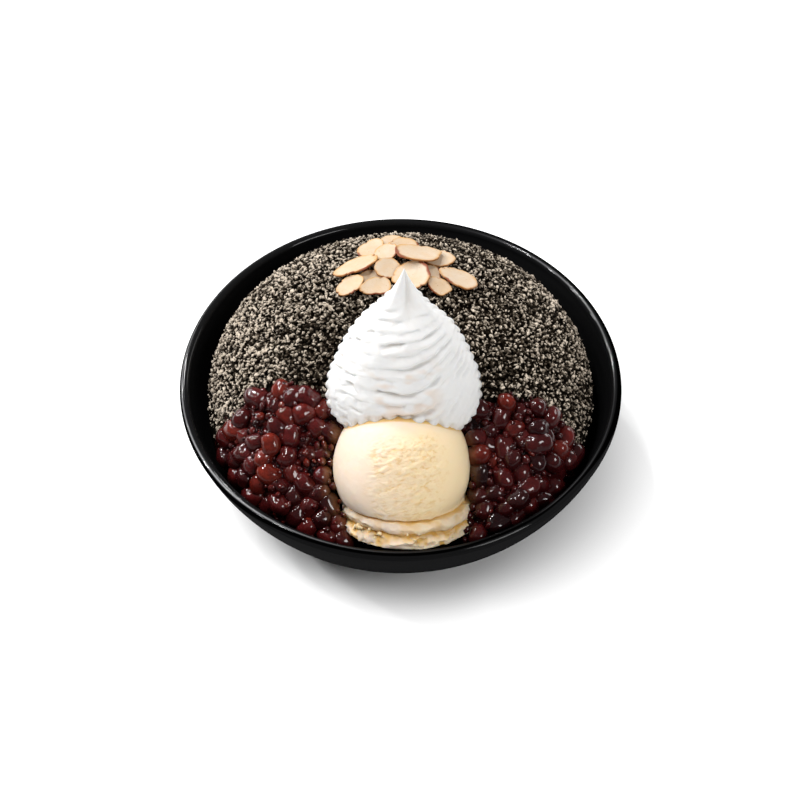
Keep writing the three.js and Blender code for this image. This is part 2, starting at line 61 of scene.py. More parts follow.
class Slot(Enum):
    """Material slots of the record that the pieces take their finish from."""

    GLAZE = "bowl_glaze"
    SESAME = "sesame_coat"
    ICE_CREAM = "ice_cream"
    CREAM = "whipped_cream"
    BEAN = "red_bean"
    ALMOND = "almond"


# ---- Number helpers ----------------------------------------------------------------------------
def rows(*columns: Points) -> Points:
    """Stands columns of numbers side by side, one row for each vertex or copy."""
    return np.stack(columns, axis=1)


def spun(radius: Points, turn: Points, height: Points) -> Points:
    """Gives rows of x, y, z at a radius and a turn about +Z, at their heights."""
    return rows(radius * np.cos(turn), radius * np.sin(turn), height)


def rotation(degrees: float, axis: str) -> Points:
    """Gives the 3 by 3 matrix that turns columns about an axis."""
    return np.array(Matrix.Rotation(math.radians(degrees), 3, axis))


def ease(value: Points, low: float | Points = 0.0, high: float | Points = 1.0) -> Points:
    """Rises smoothly from 0 at low to 1 at high."""
    share = np.clip((np.asarray(value, dtype=float) - low) / (high - low), 0.0, 1.0)
    return share * share * (3.0 - 2.0 * share)


def hump(distance: Points, width: float) -> Points:
    """Falls smoothly from 1 where a distance is 0 to nearly 0 at twice the width."""
    return np.exp(-((distance / width) ** 2))


def turn_from(turn: Points, degrees: float | Points) -> Points:
    """Gives how far turns are from a direction in degrees, in radians, the shorter way round."""
    return np.angle(np.exp(1j * (turn - np.radians(degrees))))


def lattice(cell: Points, seed: int) -> Points:
    """Gives each cell of space its own random number.

    Args:
        cell: Rows of three whole numbers.
        seed: Number that picks the set.

    Returns:
        A number between -1 and 1 for each row.
    """
    mixed = cell[:, 0] * 73856093 ^ cell[:, 1] * 19349663 ^ cell[:, 2] * 83492791 ^ seed * 2654435761
    mixed = (mixed ^ (mixed >> 13)) * 1274126177
    mixed = (mixed ^ (mixed >> 16)) & 0xFFFFFF
    return mixed / float(0x7FFFFF) - 1.0


def rough(points: Points, size: float | Sequence[float], seed: int, octaves: int = 1) -> Points:
    """Smooth random relief through space.

    Args:
        points: Rows of x, y, z in millimetres.
        size: Size of the relief's lumps in millimetres, along each axis or all of them.
        seed: Number that picks the relief.
        octaves: How many layers there are, each half as large and half as strong as the one before.

    Returns:
        A number for each row, between about -1 and 1 with one layer.
    """
    total = np.zeros(len(points))
    strength = 1.0
    reach = np.asarray(size, dtype=float)
    for layer in range(octaves):
        spot = points / reach + 31.7 * (layer + 1)
        cell = np.floor(spot).astype(np.int64)
        blend = ease(spot - cell)
        value = np.zeros(len(points))
        for corner in range(8):
            step = np.array([corner & 1, corner >> 1 & 1, corner >> 2 & 1])
            weight = np.prod(np.where(step == 1, blend, 1.0 - blend), axis=1)
            value += weight * lattice(cell + step, seed + layer)
        total += strength * value
        strength *= 0.5
        reach = reach * 0.5
    return total


# ---- Mesh helpers ------------------------------------------------------------------------------
def clear_selection() -> None:
    """Leaves edit mode and deselects every object, so that an operator acts on one piece alone."""
    if bpy.context.object and bpy.context.object.mode != "OBJECT":
        bpy.ops.object.mode_set(mode="OBJECT")
    bpy.ops.object.select_all(action="DESELECT")


def read_points(piece: Piece) -> Points:
    """Reads a piece's vertices.

    Args:
        piece: The mesh object.

    Returns:
        One row of x, y, z in millimetres for each vertex.
    """
    flat = np.zeros(len(piece.data.vertices) * 3)
    piece.data.vertices.foreach_get("co", flat)
    return flat.reshape(-1, 3) / MM


def write_points(piece: Piece, points: Points) -> None:
    """Moves a piece's vertices to rows of x, y, z in millimetres."""
    piece.data.vertices.foreach_set("co", (points * MM).ravel())
    piece.data.update()


def write_masks(piece: Piece, **masks: Points) -> None:
    """Stores numbers for each vertex as named attributes that a material can read.

    Args:
        piece: The mesh object.
        masks: One number for each vertex, under the attribute's name.
    """
    for name, values in masks.items():
        layer = piece.data.attributes.new(name, "FLOAT", "POINT")
        layer.data.foreach_set("value", np.asarray(values, dtype=np.float32))


def smooth_faces(piece: Piece, angle: float = 180.0) -> None:
    """Shades a piece smooth.

    Args:
        piece: The mesh object.
        angle: Edges sharper than this, in degrees, stay sharp.
    """
    clear_selection()
    piece.select_set(True)
    bpy.context.view_layer.objects.active = piece
    bpy.ops.object.shade_smooth_by_angle(angle=math.radians(angle))


def unit_ball(name: str, segments: int, rings: int) -> tuple[Piece, Points, Points]:
    """Adds a ball of rings and segments that closes at both poles, ready to be shaped.

    Args:
        name: Name of the new piece.
        segments: Number of faces around.
        rings: Number of faces from pole to pole.

    Returns:
        The piece, each vertex's share of the way down from the top pole, and its turn about +Z.
    """
    clear_selection()
    bpy.ops.mesh.primitive_uv_sphere_add(segments=segments, ring_count=rings, radius=1.0)
    piece = bpy.context.object
    piece.name = piece.data.name = name
    flat = read_points(piece) * MM
    share = np.arccos(np.clip(flat[:, 2], -1.0, 1.0)) / math.pi
    return piece, share, np.arctan2(flat[:, 1], flat[:, 0])


def small_ball(name: str, segments: int, rings: int) -> tuple[Piece, Points, Points]:
    """Adds a pattern's ball and gives it, its vertices 1 mm across, and their shares of the way down."""
    piece, share, _ = unit_ball(name, segments, rings)
    return piece, read_points(piece) * MM * 0.5, share


def small_pebble(subdivisions: int) -> tuple[Piece, Points]:
    """Adds a pattern's faceted ball, 1 mm across.

    Args:
        subdivisions: How fine its facets are, from 1.

    Returns:
        The pattern and its vertices.
    """
    clear_selection()
    bpy.ops.mesh.primitive_ico_sphere_add(subdivisions=subdivisions, radius=0.5 * MM)
    return bpy.context.object, read_points(bpy.context.object)


@dataclass
class Copies:
    """Many copies of one small pattern, joined into one piece in the order of their middles."""

    piece: Piece
    middles: Points

    def each(self, values: Points) -> Points:
        """Repeats what holds for each copy over all its vertices."""
        return np.repeat(values, len(self.piece.data.vertices) // len(self.middles), axis=0)

    def around(self, points: Points) -> Points:
        """Gives where vertices lie, seen from the middles of their copies."""
        return points - self.each(self.middles)

    def along(self, points: Points, ahead: Points) -> Points:
        """Gives how far vertices lie from their copies' middles along each copy's own direction."""
        return np.einsum("ij,ij->i", self.around(points), self.each(ahead))

    def roughen(self, depth: float, size: float, seed: int, octaves: int = 1) -> Points:
        """Makes the copies uneven, each in its own way.

        Args:
            depth: How much they swell and shrink, as a share of their size.
            size: Size of the relief's lumps in millimetres.
            seed: Number that picks the relief.
            octaves: How many layers the relief has.

        Returns:
            The vertices as they are now.
        """
        points = read_points(self.piece)
        points += depth * self.around(points) * rough(points, size, seed, octaves)[:, None]
        write_points(self.piece, points)
        return points


def joined_copies(name: str, pattern: Piece, places: Points, frames: Points, smooth: bool = True) -> Copies:
    """Joins many copies of a small pattern into one mesh and removes the pattern.

    Args:
        name: Name of the joined piece.
        pattern: The shape that is repeated, centred on the origin.
        places: Where each copy's middle goes, in millimetres.
        frames: A 3 by 3 matrix for each copy, which turns and stretches it.
        smooth: Whether its faces are shaded smooth.

    Returns:
        The joined copies.
    """
    shape = read_points(pattern)
    faces = pattern.data.polygons
    loops = np.zeros(len(pattern.data.loops), dtype=np.int32)
    starts, sizes = np.zeros((2, len(faces)), dtype=np.int32)
    pattern.data.loops.foreach_get("vertex_index", loops)
    faces.foreach_get("loop_start", starts)
    faces.foreach_get("loop_total", sizes)
    count = len(places)
    points = np.einsum("cij,vj->cvi", frames, shape) + places[:, None, :]
    step = np.arange(count, dtype=np.int32)[:, None]
    mesh = bpy.data.meshes.new(name)
    mesh.vertices.add(count * len(shape))
    mesh.vertices.foreach_set("co", (points * MM).ravel())
    mesh.loops.add(count * len(loops))
    mesh.loops.foreach_set("vertex_index", (loops[None, :] + step * len(shape)).ravel())
    mesh.polygons.add(count * len(starts))
    mesh.polygons.foreach_set("loop_start", (starts[None, :] + step * len(loops)).ravel())
    mesh.polygons.foreach_set("loop_total", np.tile(sizes, count))
    mesh.polygons.foreach_set("use_smooth", np.full(count * len(starts), smooth, dtype=bool))
    mesh.update(calc_edges=True)
    mesh.validate()
    piece = bpy.data.objects.new(name, mesh)
    bpy.context.scene.collection.objects.link(piece)
    bpy.data.objects.remove(pattern)
    return Copies(piece, places)


def turned_frames(normals: Points, spins: Points, stretch: Points) -> Points:
    """Builds matrices that stand copies on a surface.

    Args:
        normals: The surface's outward direction at each copy.
        spins: Each copy's turn about that direction, in radians.
        stretch: Each copy's size along its own x, y and z.

    Returns:
        A 3 by 3 matrix for each copy.
    """
    up = normals / np.linalg.norm(normals, axis=1, keepdims=True)
    guide = np.where(np.abs(up[:, 2:3]) < 0.9, np.array([[0.0, 0.0, 1.0]]), np.array([[1.0, 0.0, 0.0]]))
    side = np.cross(guide, up)
    side /= np.linalg.norm(side, axis=1, keepdims=True)
    ahead = np.cross(up, side)
    first = np.cos(spins)[:, None] * side + np.sin(spins)[:, None] * ahead
    second = np.cross(up, first)
    return np.stack([first, second, up], axis=2) * stretch[:, None, :]


def tumbled_frames(random: np.random.Generator, stretch: Points) -> Points:
    """Builds matrices that turn copies every way at random.

    Args:
        random: Source of the turns.
        stretch: Each copy's size along its own x, y and z.

    Returns:
        A 3 by 3 matrix for each copy.
    """
    quats = random.normal(size=(len(stretch), 4))
    quats /= np.linalg.norm(quats, axis=1, keepdims=True)
    w, x, y, z = quats.T
    first = rows(1 - 2 * (y * y + z * z), 2 * (x * y - z * w), 2 * (x * z + y * w))
    second = rows(2 * (x * y + z * w), 1 - 2 * (x * x + z * z), 2 * (y * z - x * w))
    third = rows(2 * (x * z - y * w), 2 * (y * z + x * w), 1 - 2 * (x * x + y * y))
    return rows(first, second, third) * stretch[:, None, :]


# ---- Finishes ----------------------------------------------------------------------------------
class NodeBench:
    """Lays out and links the nodes of one material or node group."""

    def __init__(self, tree: bpy.types.NodeTree) -> None:
        """Takes the node tree that the nodes go into."""
        self.tree = tree

    def feed(self, node: Node, inputs: dict[str | int, object]) -> None:
        """Sets or links a node's inputs.

        Args:
            node: The node.
            inputs: Values or output sockets for its inputs, by name or number.
        """
        for key, value in inputs.items():
            if isinstance(value, Socket):
                self.tree.links.new(value, node.inputs[key])
            else:
                node.inputs[key].default_value = value

    def add(self, kind: str, inputs: dict[str | int, object] | None = None, **settings: object) -> Node:
        """Adds a node.

        Args:
            kind: The type of node, by its name in Blender.
            inputs: Values or output sockets for its inputs, by name or number.
            settings: Values for the node's own properties.

        Returns:
            The new node.
        """
        node = self.tree.nodes.new(kind)
        for key, value in settings.items():
            setattr(node, key, value)
        self.feed(node, inputs or {})
        return node

    def mask(self, name: str) -> Socket:
        """Reads a piece's own named attribute."""
        return self.add("ShaderNodeAttribute", attribute_name=name).outputs["Fac"]

    def place(self) -> Socket:
        """Reads the place on the piece, in metres."""
        return self.add("ShaderNodeTexCoord").outputs["Object"]

    def noise(self, place: Socket, scale: float | Socket, detail: float) -> Socket:
        """Gives soft random noise through space, from 0 to 1."""
        inputs = {"Vector": place, "Scale": scale, "Detail": detail}
        return self.add("ShaderNodeTexNoise", inputs).outputs["Fac"]

    def ramp(self, value: Socket, stops: Sequence[tuple[float, Colour]]) -> Socket:
        """Turns a value into a colour.

        Args:
            value: The value to read.
            stops: Pairs of a position from 0 to 1 and the colour there.

        Returns:
            The colour.
        """
        node = self.add("ShaderNodeValToRGB", {0: value})
        points = node.color_ramp.elements
        while len(points) < len(stops):
            points.new(0.5)
        for point, (position, colour) in zip(points, stops):
            point.position = position
            point.color = (*colour, 1.0)
        return node.outputs["Color"]

    def join(self, operation: str, first: object, second: object, clamp: bool = False) -> Socket:
        """Joins two values by a named operation."""
        node = self.add("ShaderNodeMath", {0: first, 1: second}, operation=operation, use_clamp=clamp)
        return node.outputs[0]

    def times(self, first: object, second: object, clamp: bool = False) -> Socket:
        """Multiplies two values."""
        return self.join("MULTIPLY", first, second, clamp)

    def plus(self, first: object, second: object, clamp: bool = False) -> Socket:
        """Adds two values."""
        return self.join("ADD", first, second, clamp)

    def blend(self, share: object, first: Colour | Socket, second: Colour | Socket) -> Socket:
        """Blends two colours by a share between 0 and 1."""
        ends = [(*colour, 1.0) if isinstance(colour, tuple) else colour for colour in (first, second)]
        return self.add("ShaderNodeMix", {0: share, 6: ends[0], 7: ends[1]}, data_type="RGBA").outputs[2]


def mottle_group() -> bpy.types.NodeTree:
    """Makes the shared speckle of crumbs and skins once.

    Returns:
        A group with inputs Size, Sharpness and Shift, and outputs Mask and Grain.
    """
    known = bpy.data.node_groups.get("fine_mottle")
    if known:
        return known
    group = bpy.data.node_groups.new("fine_mottle", "ShaderNodeTree")
    for name, value in (("Size", 0.004), ("Sharpness", 3.0), ("Shift", 0.0)):
        given = group.interface.new_socket(name=name, in_out="INPUT", socket_type="NodeSocketFloat")
        given.default_value = value
    for name in ("Mask", "Grain"):
        group.interface.new_socket(name=name, in_out="OUTPUT", socket_type="NodeSocketFloat")
    bench = NodeBench(group)
    asked = bench.add("NodeGroupInput").outputs
    scale = bench.join("DIVIDE", 1.0, asked["Size"])
    broad = bench.noise(bench.place(), scale, 3.0)
    fine = bench.noise(bench.place(), bench.times(scale, 5.0), 2.0)
    sharp = bench.times(bench.join("SUBTRACT", broad, 0.5), asked["Sharpness"])
    mask = bench.plus(bench.plus(sharp, asked["Shift"]), 0.5, clamp=True)
    bench.add("NodeGroupOutput", {"Mask": mask, "Grain": fine})
    return group


def mottled(bench: NodeBench, size: float, sharpness: float, shift: float = 0.0) -> tuple[Socket, Socket]:
    """Places the shared speckle in a material with its own values.

    Args:
        bench: The material's nodes.
        size: Size of the specks in millimetres.
        sharpness: How hard their edges are.
        shift: Raises or lowers the mask, for more or fewer specks.

    Returns:
        The mask of the specks, and a finer grain for the relief.
    """
    values = {"Size": size * MM, "Sharpness": sharpness, "Shift": shift}
    node = bench.add("ShaderNodeGroup", node_tree=mottle_group())
    bench.feed(node, values)
    return node.outputs["Mask"], node.outputs["Grain"]


@dataclass(frozen=True)
class Finish:
    """A finish with its own material, made the first time that a piece takes it.

    Speckle is the size in millimetres and the sharpness of its specks, and depth is the fine relief's in
    millimetres. Soft is how much light goes under the surface, how far in red, green and blue, and the
    reach in millimetres.
    """

    name: str = "plain"
    slot: Slot = Slot.GLAZE
    roughness: float = 0.5
    specular: float = 0.0
    speckle: tuple[float, float] = (4.0, 3.0)
    depth: float = 0.1
    soft: tuple[float, Colour, float] | None = None

    def paint(self, bench: NodeBench, mask: Socket, grain: Socket) -> tuple[Socket, Socket]:
        """Gives the colour and the fine relief's height, from the mask of its specks and a finer grain."""
        raise NotImplementedError

    def lay(self, bench: NodeBench, shader: Node) -> None:
        """Sets and links the shader's sockets.

        Args:
            bench: The material's nodes.
            shader: The material's shader.
        """
        colour, height = self.paint(bench, *mottled(bench, *self.speckle))
        bump = bench.add("ShaderNodeBump", {"Strength": 1.0, "Distance": self.depth * MM, "Height": height})
        bench.feed(shader, {"Base Color": colour, "Normal": bump.outputs[0]})
        bench.feed(shader, {"Roughness": self.roughness, "Specular IOR Level": self.specular})
        if self.soft:
            weight, spread, reach = self.soft
            bench.feed(shader, {"Subsurface Weight": weight, "Subsurface Radius": spread})
            bench.feed(shader, {"Subsurface Scale": reach * MM})

    def material(self) -> bpy.types.Material:
        """Gives the finish's material.

        Returns:
            The one material of this name.
        """
        known = bpy.data.materials.get(self.name)
        if known:
            return known
        material = bpy.data.materials.new(self.name)
        material.use_nodes = True
        material.node_tree.nodes.clear()
        bench = NodeBench(material.node_tree)
        shader = bench.add("ShaderNodeBsdfPrincipled")
        bench.add("ShaderNodeOutputMaterial", {0: shader.outputs[0]})
        self.lay(bench, shader)
        return material

    def dress(self, piece: Piece) -> None:
        """Puts the material on a piece."""
        piece.data.materials.clear()
        piece.data.materials.append(self.material())


@dataclass(frozen=True)
class GlazeFinish(Finish):
    """Black glaze: matt on the walls, glossy on the lip, with a painted highlight in grey along the lip's
    shoulder and a painted shadow in black on its bead.
    """

    name: str = "black_glaze"
    slot: Slot = Slot.GLAZE
    roughness: float = 0.6
    speckle: tuple[float, float] = (14.0, 2.0)
    depth: float = 0.003
    colour: Colour = (0.0065, 0.0065, 0.0068)
    # painted highlight: the grey of the lines along the lip's shoulder
    thin: Colour = (0.34, 0.34, 0.35)
    shadow: Colour = (0.0004, 0.0004, 0.0004)
    coat: float = 0.38
    coat_roughness: float = 0.07

    def paint(self, bench: NodeBench, mask: Socket, grain: Socket) -> tuple[Socket, Socket]:
        """Gives near black, grey on the painted highlight lines and blacker in the painted shadow, with a
        faint orange peel.
        """
        worn = bench.blend(bench.mask("thin"), self.colour, self.thin)
        return bench.blend(bench.mask("dark"), worn, self.shadow), grain

    def lay(self, bench: NodeBench, shader: Node) -> None:
        """Sets and links the shader's sockets, with the coat that shines on the lip.

        Args:
            bench: The material's nodes.
            shader: The material's shader.
        """
        super().lay(bench, shader)
        gloss = bench.times(bench.mask("gloss"), self.coat)
        bench.feed(shader, {"Coat Weight": gloss, "Coat Roughness": self.coat_roughness})


@dataclass(frozen=True)
class SesameFinish(Finish):
    """Ground sesame: grey-beige on the grains' tops, with painted shade that goes near black in the gaps."""

    name: str = "ground_sesame"
    slot: Slot = Slot.SESAME
    roughness: float = 0.42
    specular: float = 0.03
    speckle: tuple[float, float] = (0.7, 3.0)
    depth: float = 0.3
    tones: tuple[tuple[float, Colour], ...] = (
        (0.0, (0.0025, 0.0014, 0.0006)),
        (0.2, (0.024, 0.0165, 0.010)),
        (0.46, (0.22, 0.18, 0.136)),
        (0.9, (0.78, 0.67, 0.545)),
    )

    def paint(self, bench: NodeBench, mask: Socket, grain: Socket) -> tuple[Socket, Socket]:
        """Gives each grain its tone, lighter the higher it reaches, as painted shade darkens low parts, with
        flecks on it.

        Args:
            bench: The material's nodes.
            mask: The mask of the finish's specks.
            grain: The finer grain.

        Returns:
            The colour and the height of the fine relief.
        """
        flecked = bench.plus(bench.times(mask, 0.8), 0.56)
        lifted = bench.times(bench.times(bench.mask("tone"), flecked), bench.mask("height"), clamp=True)
        return bench.ramp(lifted, self.tones), grain


@dataclass(frozen=True)
class SesameBedFinish(Finish):
    """The dark bed of sesame dust that shows between the grains, painted near black as the shade there."""

    name: str = "sesame_dust"
    slot: Slot = Slot.SESAME
    roughness: float = 0.8
    speckle: tuple[float, float] = (1.6, 3.0)
    depth: float = 0.4
    dark: Colour = (0.0012, 0.001, 0.0008)
    light: Colour = (0.010, 0.008, 0.006)

    def paint(self, bench: NodeBench, mask: Socket, grain: Socket) -> tuple[Socket, Socket]:
        """Gives specks of dust on near black."""
        return bench.blend(mask, self.dark, self.light), grain


@dataclass(frozen=True)
class CreamFinish(Finish):
    """Whipped cream: soft white, with painted shade in a brownish grey down in the folds and on the low
    front.
    """

    name: str = "whipped_cream_white"
    slot: Slot = Slot.CREAM
    roughness: float = 0.42
    specular: float = 0.4
    speckle: tuple[float, float] = (3.0, 1.4)
    depth: float = 0.05
    soft: tuple[float, Colour, float] | None = (0.35, (1.0, 0.85, 0.7), 1.2)
    crest: Colour = (0.78, 0.775, 0.765)
    # painted shade in the folds
    fold: Colour = (0.66, 0.62, 0.57)
    # painted shade on the low front
    blush: Colour = (0.73, 0.63, 0.55)

    def paint(self, bench: NodeBench, mask: Socket, grain: Socket) -> tuple[Socket, Socket]:
        """Gives white crests, painted shade in the folds, and painted shade above the ice cream where the
        cream curves under.
        """
        folded = bench.blend(bench.mask("fold"), self.crest, self.fold)
        return bench.blend(bench.mask("blush"), folded, self.blush), grain


@dataclass(frozen=True)
class IceCreamFinish(Finish):
    """Vanilla ice cream: pale cream, paler where painted light falls, honey-coloured in pits and cracks and
    as painted shade in creases and under the cream, flaky where it was dragged.
    """

    name: str = "vanilla_ice_cream"
    slot: Slot = Slot.ICE_CREAM
    roughness: float = 0.52
    specular: float = 0.25
    speckle: tuple[float, float] = (9.0, 1.6)
    depth: float = 0.62
    soft: tuple[float, Colour, float] | None = (0.45, (1.0, 0.7, 0.4), 2.2)
    face: Colour = (0.885, 0.70, 0.42)
    # pale: its own paler colour, and painted light on the lit side and top
    pale: Colour = (0.82, 0.675, 0.54)
    # honey colour of the pits and of the painted shade
    pit: Colour = (0.72, 0.44, 0.12)
    flake_tilt: float = 24.0
    flake_stretch: float = 0.42
    flake_scale: float = 250.0
    crack_edges: tuple[float, float] = (0.47, 0.36)

    def paint(self, bench: NodeBench, mask: Socket, grain: Socket) -> tuple[Socket, Socket]:
        """Lays out pale fields, partly painted light, and full-coloured ones, with flakes and cracks where
        the ball was dragged, and honey-coloured pits and painted shade.

        Args:
            bench: The material's nodes.
            mask: The mask of the finish's specks.
            grain: The finer grain.

        Returns:
            The colour and the height of the fine relief.
        """
        pale = bench.plus(bench.mask("pale"), bench.times(mask, 0.2), clamp=True)
        ground = bench.blend(pale, self.face, self.pale)
        worked = bench.mask("worked")
        drag = {
            "Vector": bench.place(),
            "Scale": (1.0, self.flake_stretch, self.flake_stretch),
            "Rotation": (0.0, math.radians(-self.flake_tilt), 0.0),
        }
        dragged = bench.add("ShaderNodeMapping", drag, vector_type="TEXTURE")
        flakes = bench.noise(dragged.outputs[0], self.flake_scale, 4.0)
        start, full = self.crack_edges
        low = bench.add("ShaderNodeMapRange", {"Value": flakes, "From Min": start, "From Max": full})
        crack = bench.times(worked, bench.times(low.outputs[0], 0.4))
        deep = bench.plus(bench.mask("pit"), crack, clamp=True)
        height = bench.plus(bench.times(flakes, worked), bench.times(grain, 0.1))
        return bench.blend(deep, ground, self.pit), height


@dataclass(frozen=True)
class BeanFinish(Finish):
    """Syrupy bean skin: glossy maroon, with a painted glow in orange-red on each bean's lower part."""

    name: str = "sweet_bean_skin"
    slot: Slot = Slot.BEAN
    roughness: float = 0.2
    specular: float = 0.05
    speckle: tuple[float, float] = (3.2, 2.6)
    depth: float = 0.12
    soft: tuple[float, Colour, float] | None = (0.15, (1.0, 0.25, 0.12), 1.6)
    deep: Colour = (0.011, 0.0016, 0.0022)
    skin: Colour = (0.088, 0.0076, 0.0074)
    # painted glow: orange-red standing for light through the skin
    glow: Colour = (0.29, 0.031, 0.011)
    # painted reflection of the ice cream
    tan: Colour = (0.20, 0.08, 0.032)
    coat_ior: float = 1.45
    coat_roughness: float = 0.03

    def paint(self, bench: NodeBench, mask: Socket, grain: Socket) -> tuple[Socket, Socket]:
        """Lays out the skin: deep parts and painted glow, painted shade on the sides, and a painted
        reflection of the ice cream beside it.

        Args:
            bench: The material's nodes.
            mask: The mask of the finish's specks.
            grain: The finer grain.

        Returns:
            The colour and the height of the fine relief.
        """
        base = bench.ramp(bench.mask("tone"), ((0.0, self.deep), (0.55, self.skin), (1.0, self.glow)))
        skin = bench.blend(bench.times(mask, 0.55), base, self.deep)
        # painted shade: sides that face away from the top darken towards deep, where the gloss mask is low
        lit = bench.blend(bench.plus(bench.times(bench.mask("gloss"), 0.5), 0.5), self.deep, skin)
        # painted reflection of the ice cream in tan
        colour = bench.blend(bench.mask("warm"), lit, self.tan)
        return colour, bench.plus(mask, bench.times(grain, 0.8))

    def lay(self, bench: NodeBench, shader: Node) -> None:
        """Sets and links the shader's sockets, with the coat of syrup.

        Args:
            bench: The material's nodes.
            shader: The material's shader.
        """
        super().lay(bench, shader)
        bench.feed(shader, {"Coat Weight": bench.mask("gloss"), "Coat IOR": self.coat_ior})
        bench.feed(shader, {"Coat Roughness": self.coat_roughness})


@dataclass(frozen=True)
class SyrupFinish(Finish):
    """Thick dark bean syrup with crushed bean in it."""

    name: str = "bean_syrup"
    slot: Slot = Slot.BEAN
    roughness: float = 0.18
    specular: float = 0.15
    speckle: tuple[float, float] = (3.5, 3.2)
    depth: float = 0.9
    dark: Colour = (0.006, 0.0012, 0.0014)
    red: Colour = (0.045, 0.005, 0.005)

    def paint(self, bench: NodeBench, mask: Socket, grain: Socket) -> tuple[Socket, Socket]:
        """Gives red crushed bean that stands out of dark syrup."""
        return bench.blend(mask, self.dark, self.red), mask


@dataclass(frozen=True)
class AlmondFinish(Finish):
    """Toasted almond slice: cream face, golden rim, a strip of brown skin on some edges."""

    name: str = "toasted_almond"
    slot: Slot = Slot.ALMOND
    roughness: float = 0.5
    specular: float = 0.4
    speckle: tuple[float, float] = (4.5, 2.2)
    depth: float = 0.1
    soft: tuple[float, Colour, float] | None = (0.12, (1.0, 0.7, 0.4), 0.8)
    flecks: tuple[float, float, float] = (0.8, 9.0, -1.8)
    face: Colour = (0.60, 0.44, 0.285)
    pale: Colour = (0.61, 0.505, 0.39)
    toast: Colour = (0.60, 0.34, 0.12)
    rim: Colour = (0.30, 0.11, 0.022)
    skin: Colour = (0.23, 0.055, 0.018)

    def paint(self, bench: NodeBench, mask: Socket, grain: Socket) -> tuple[Socket, Socket]:
        """Lays out the face, its toasted parts and dark rim, painted shade on the rim's downhill side, small
        flecks and the skin.

        Args:
            bench: The material's nodes.
            mask: The mask of the finish's specks.
            grain: The finer grain.

        Returns:
            The colour and the height of the fine relief.
        """
        ground = bench.blend(bench.mask("toast"), bench.blend(mask, self.face, self.pale), self.toast)
        rimmed = bench.blend(bench.mask("rim"), ground, self.rim)
        specks, _ = mottled(bench, *self.flecks)
        flecked = bench.blend(bench.times(specks, 0.65), rimmed, self.rim)
        return bench.blend(bench.mask("skin"), flecked, self.skin), grain


@dataclass(frozen=True)
class FloorFinish(Finish):
    """Matt white paper that glows from the ends of the bowl's shadow outwards.

    Each ring is the x and y of its middle and its radius, in millimetres. The glow starts at the inner ring
    and is full past both the outer and the far one.
    """

    name: str = "studio_paper"
    roughness: float = 0.9
    specular: float = 0.1
    colour: Colour = (0.6, 0.6, 0.6)
    glow: float = 0.85
    inner: Place = (2.0, 0.0, 71.0)
    outer: Place = (9.0, 4.0, 107.0)
    far: Place = (38.0, 13.0, 111.0)

    def reach(self, bench: NodeBench, ring: Place) -> Socket:
        """Gives the distance of a place from a ring's middle, in metres."""
        ends = {0: bench.place(), 1: (ring[0] * MM, ring[1] * MM, 0.0)}
        return bench.add("ShaderNodeVectorMath", ends, operation="DISTANCE").outputs["Value"]

    def lay(self, bench: NodeBench, shader: Node) -> None:
        """Sets and links the shader's sockets.

        Args:
            bench: The material's nodes.
            shader: The material's shader.
        """
        beyond = bench.join("SUBTRACT", self.reach(bench, self.inner), self.inner[2] * MM)
        past = bench.join("MAXIMUM", beyond, 0.0)
        short, long = (
            bench.join("SUBTRACT", ring[2] * MM, self.reach(bench, ring)) for ring in (self.outer, self.far)
        )
        left = bench.join("MAXIMUM", bench.join("MAXIMUM", short, long), 0.0)
        share = bench.join("DIVIDE", past, bench.plus(bench.plus(past, left), 1e-6))
        spread = bench.add(
            "ShaderNodeMapRange", {"Value": share, "To Max": self.glow}, interpolation_type="SMOOTHSTEP"
        )
        bench.feed(shader, {"Base Color": (*self.colour, 1.0), "Roughness": self.roughness})
        bench.feed(shader, {"Emission Color": spread.outputs[0], "Emission Strength": 1.0})
        bench.feed(shader, {"Specular IOR Level": self.specular})


def hand_over(piece: Piece, finish: Finish, nodes: Sequence[str]) -> None:
    """Dresses a piece, rides it on the bowl's body and lets it stand for model nodes.

    Args:
        piece: The finished piece.
        finish: The finish that it wears.
        nodes: Names of the model's nodes that it stands for, or none where it only adds to them.
    """
    finish.dress(piece)
    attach(piece, BODY)
    if nodes:
        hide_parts(*nodes)
    faces = len(piece.data.polygons)
    log.info("%s: %d faces, stands for %s", piece.name, faces, ", ".join(nodes) or "nothing")


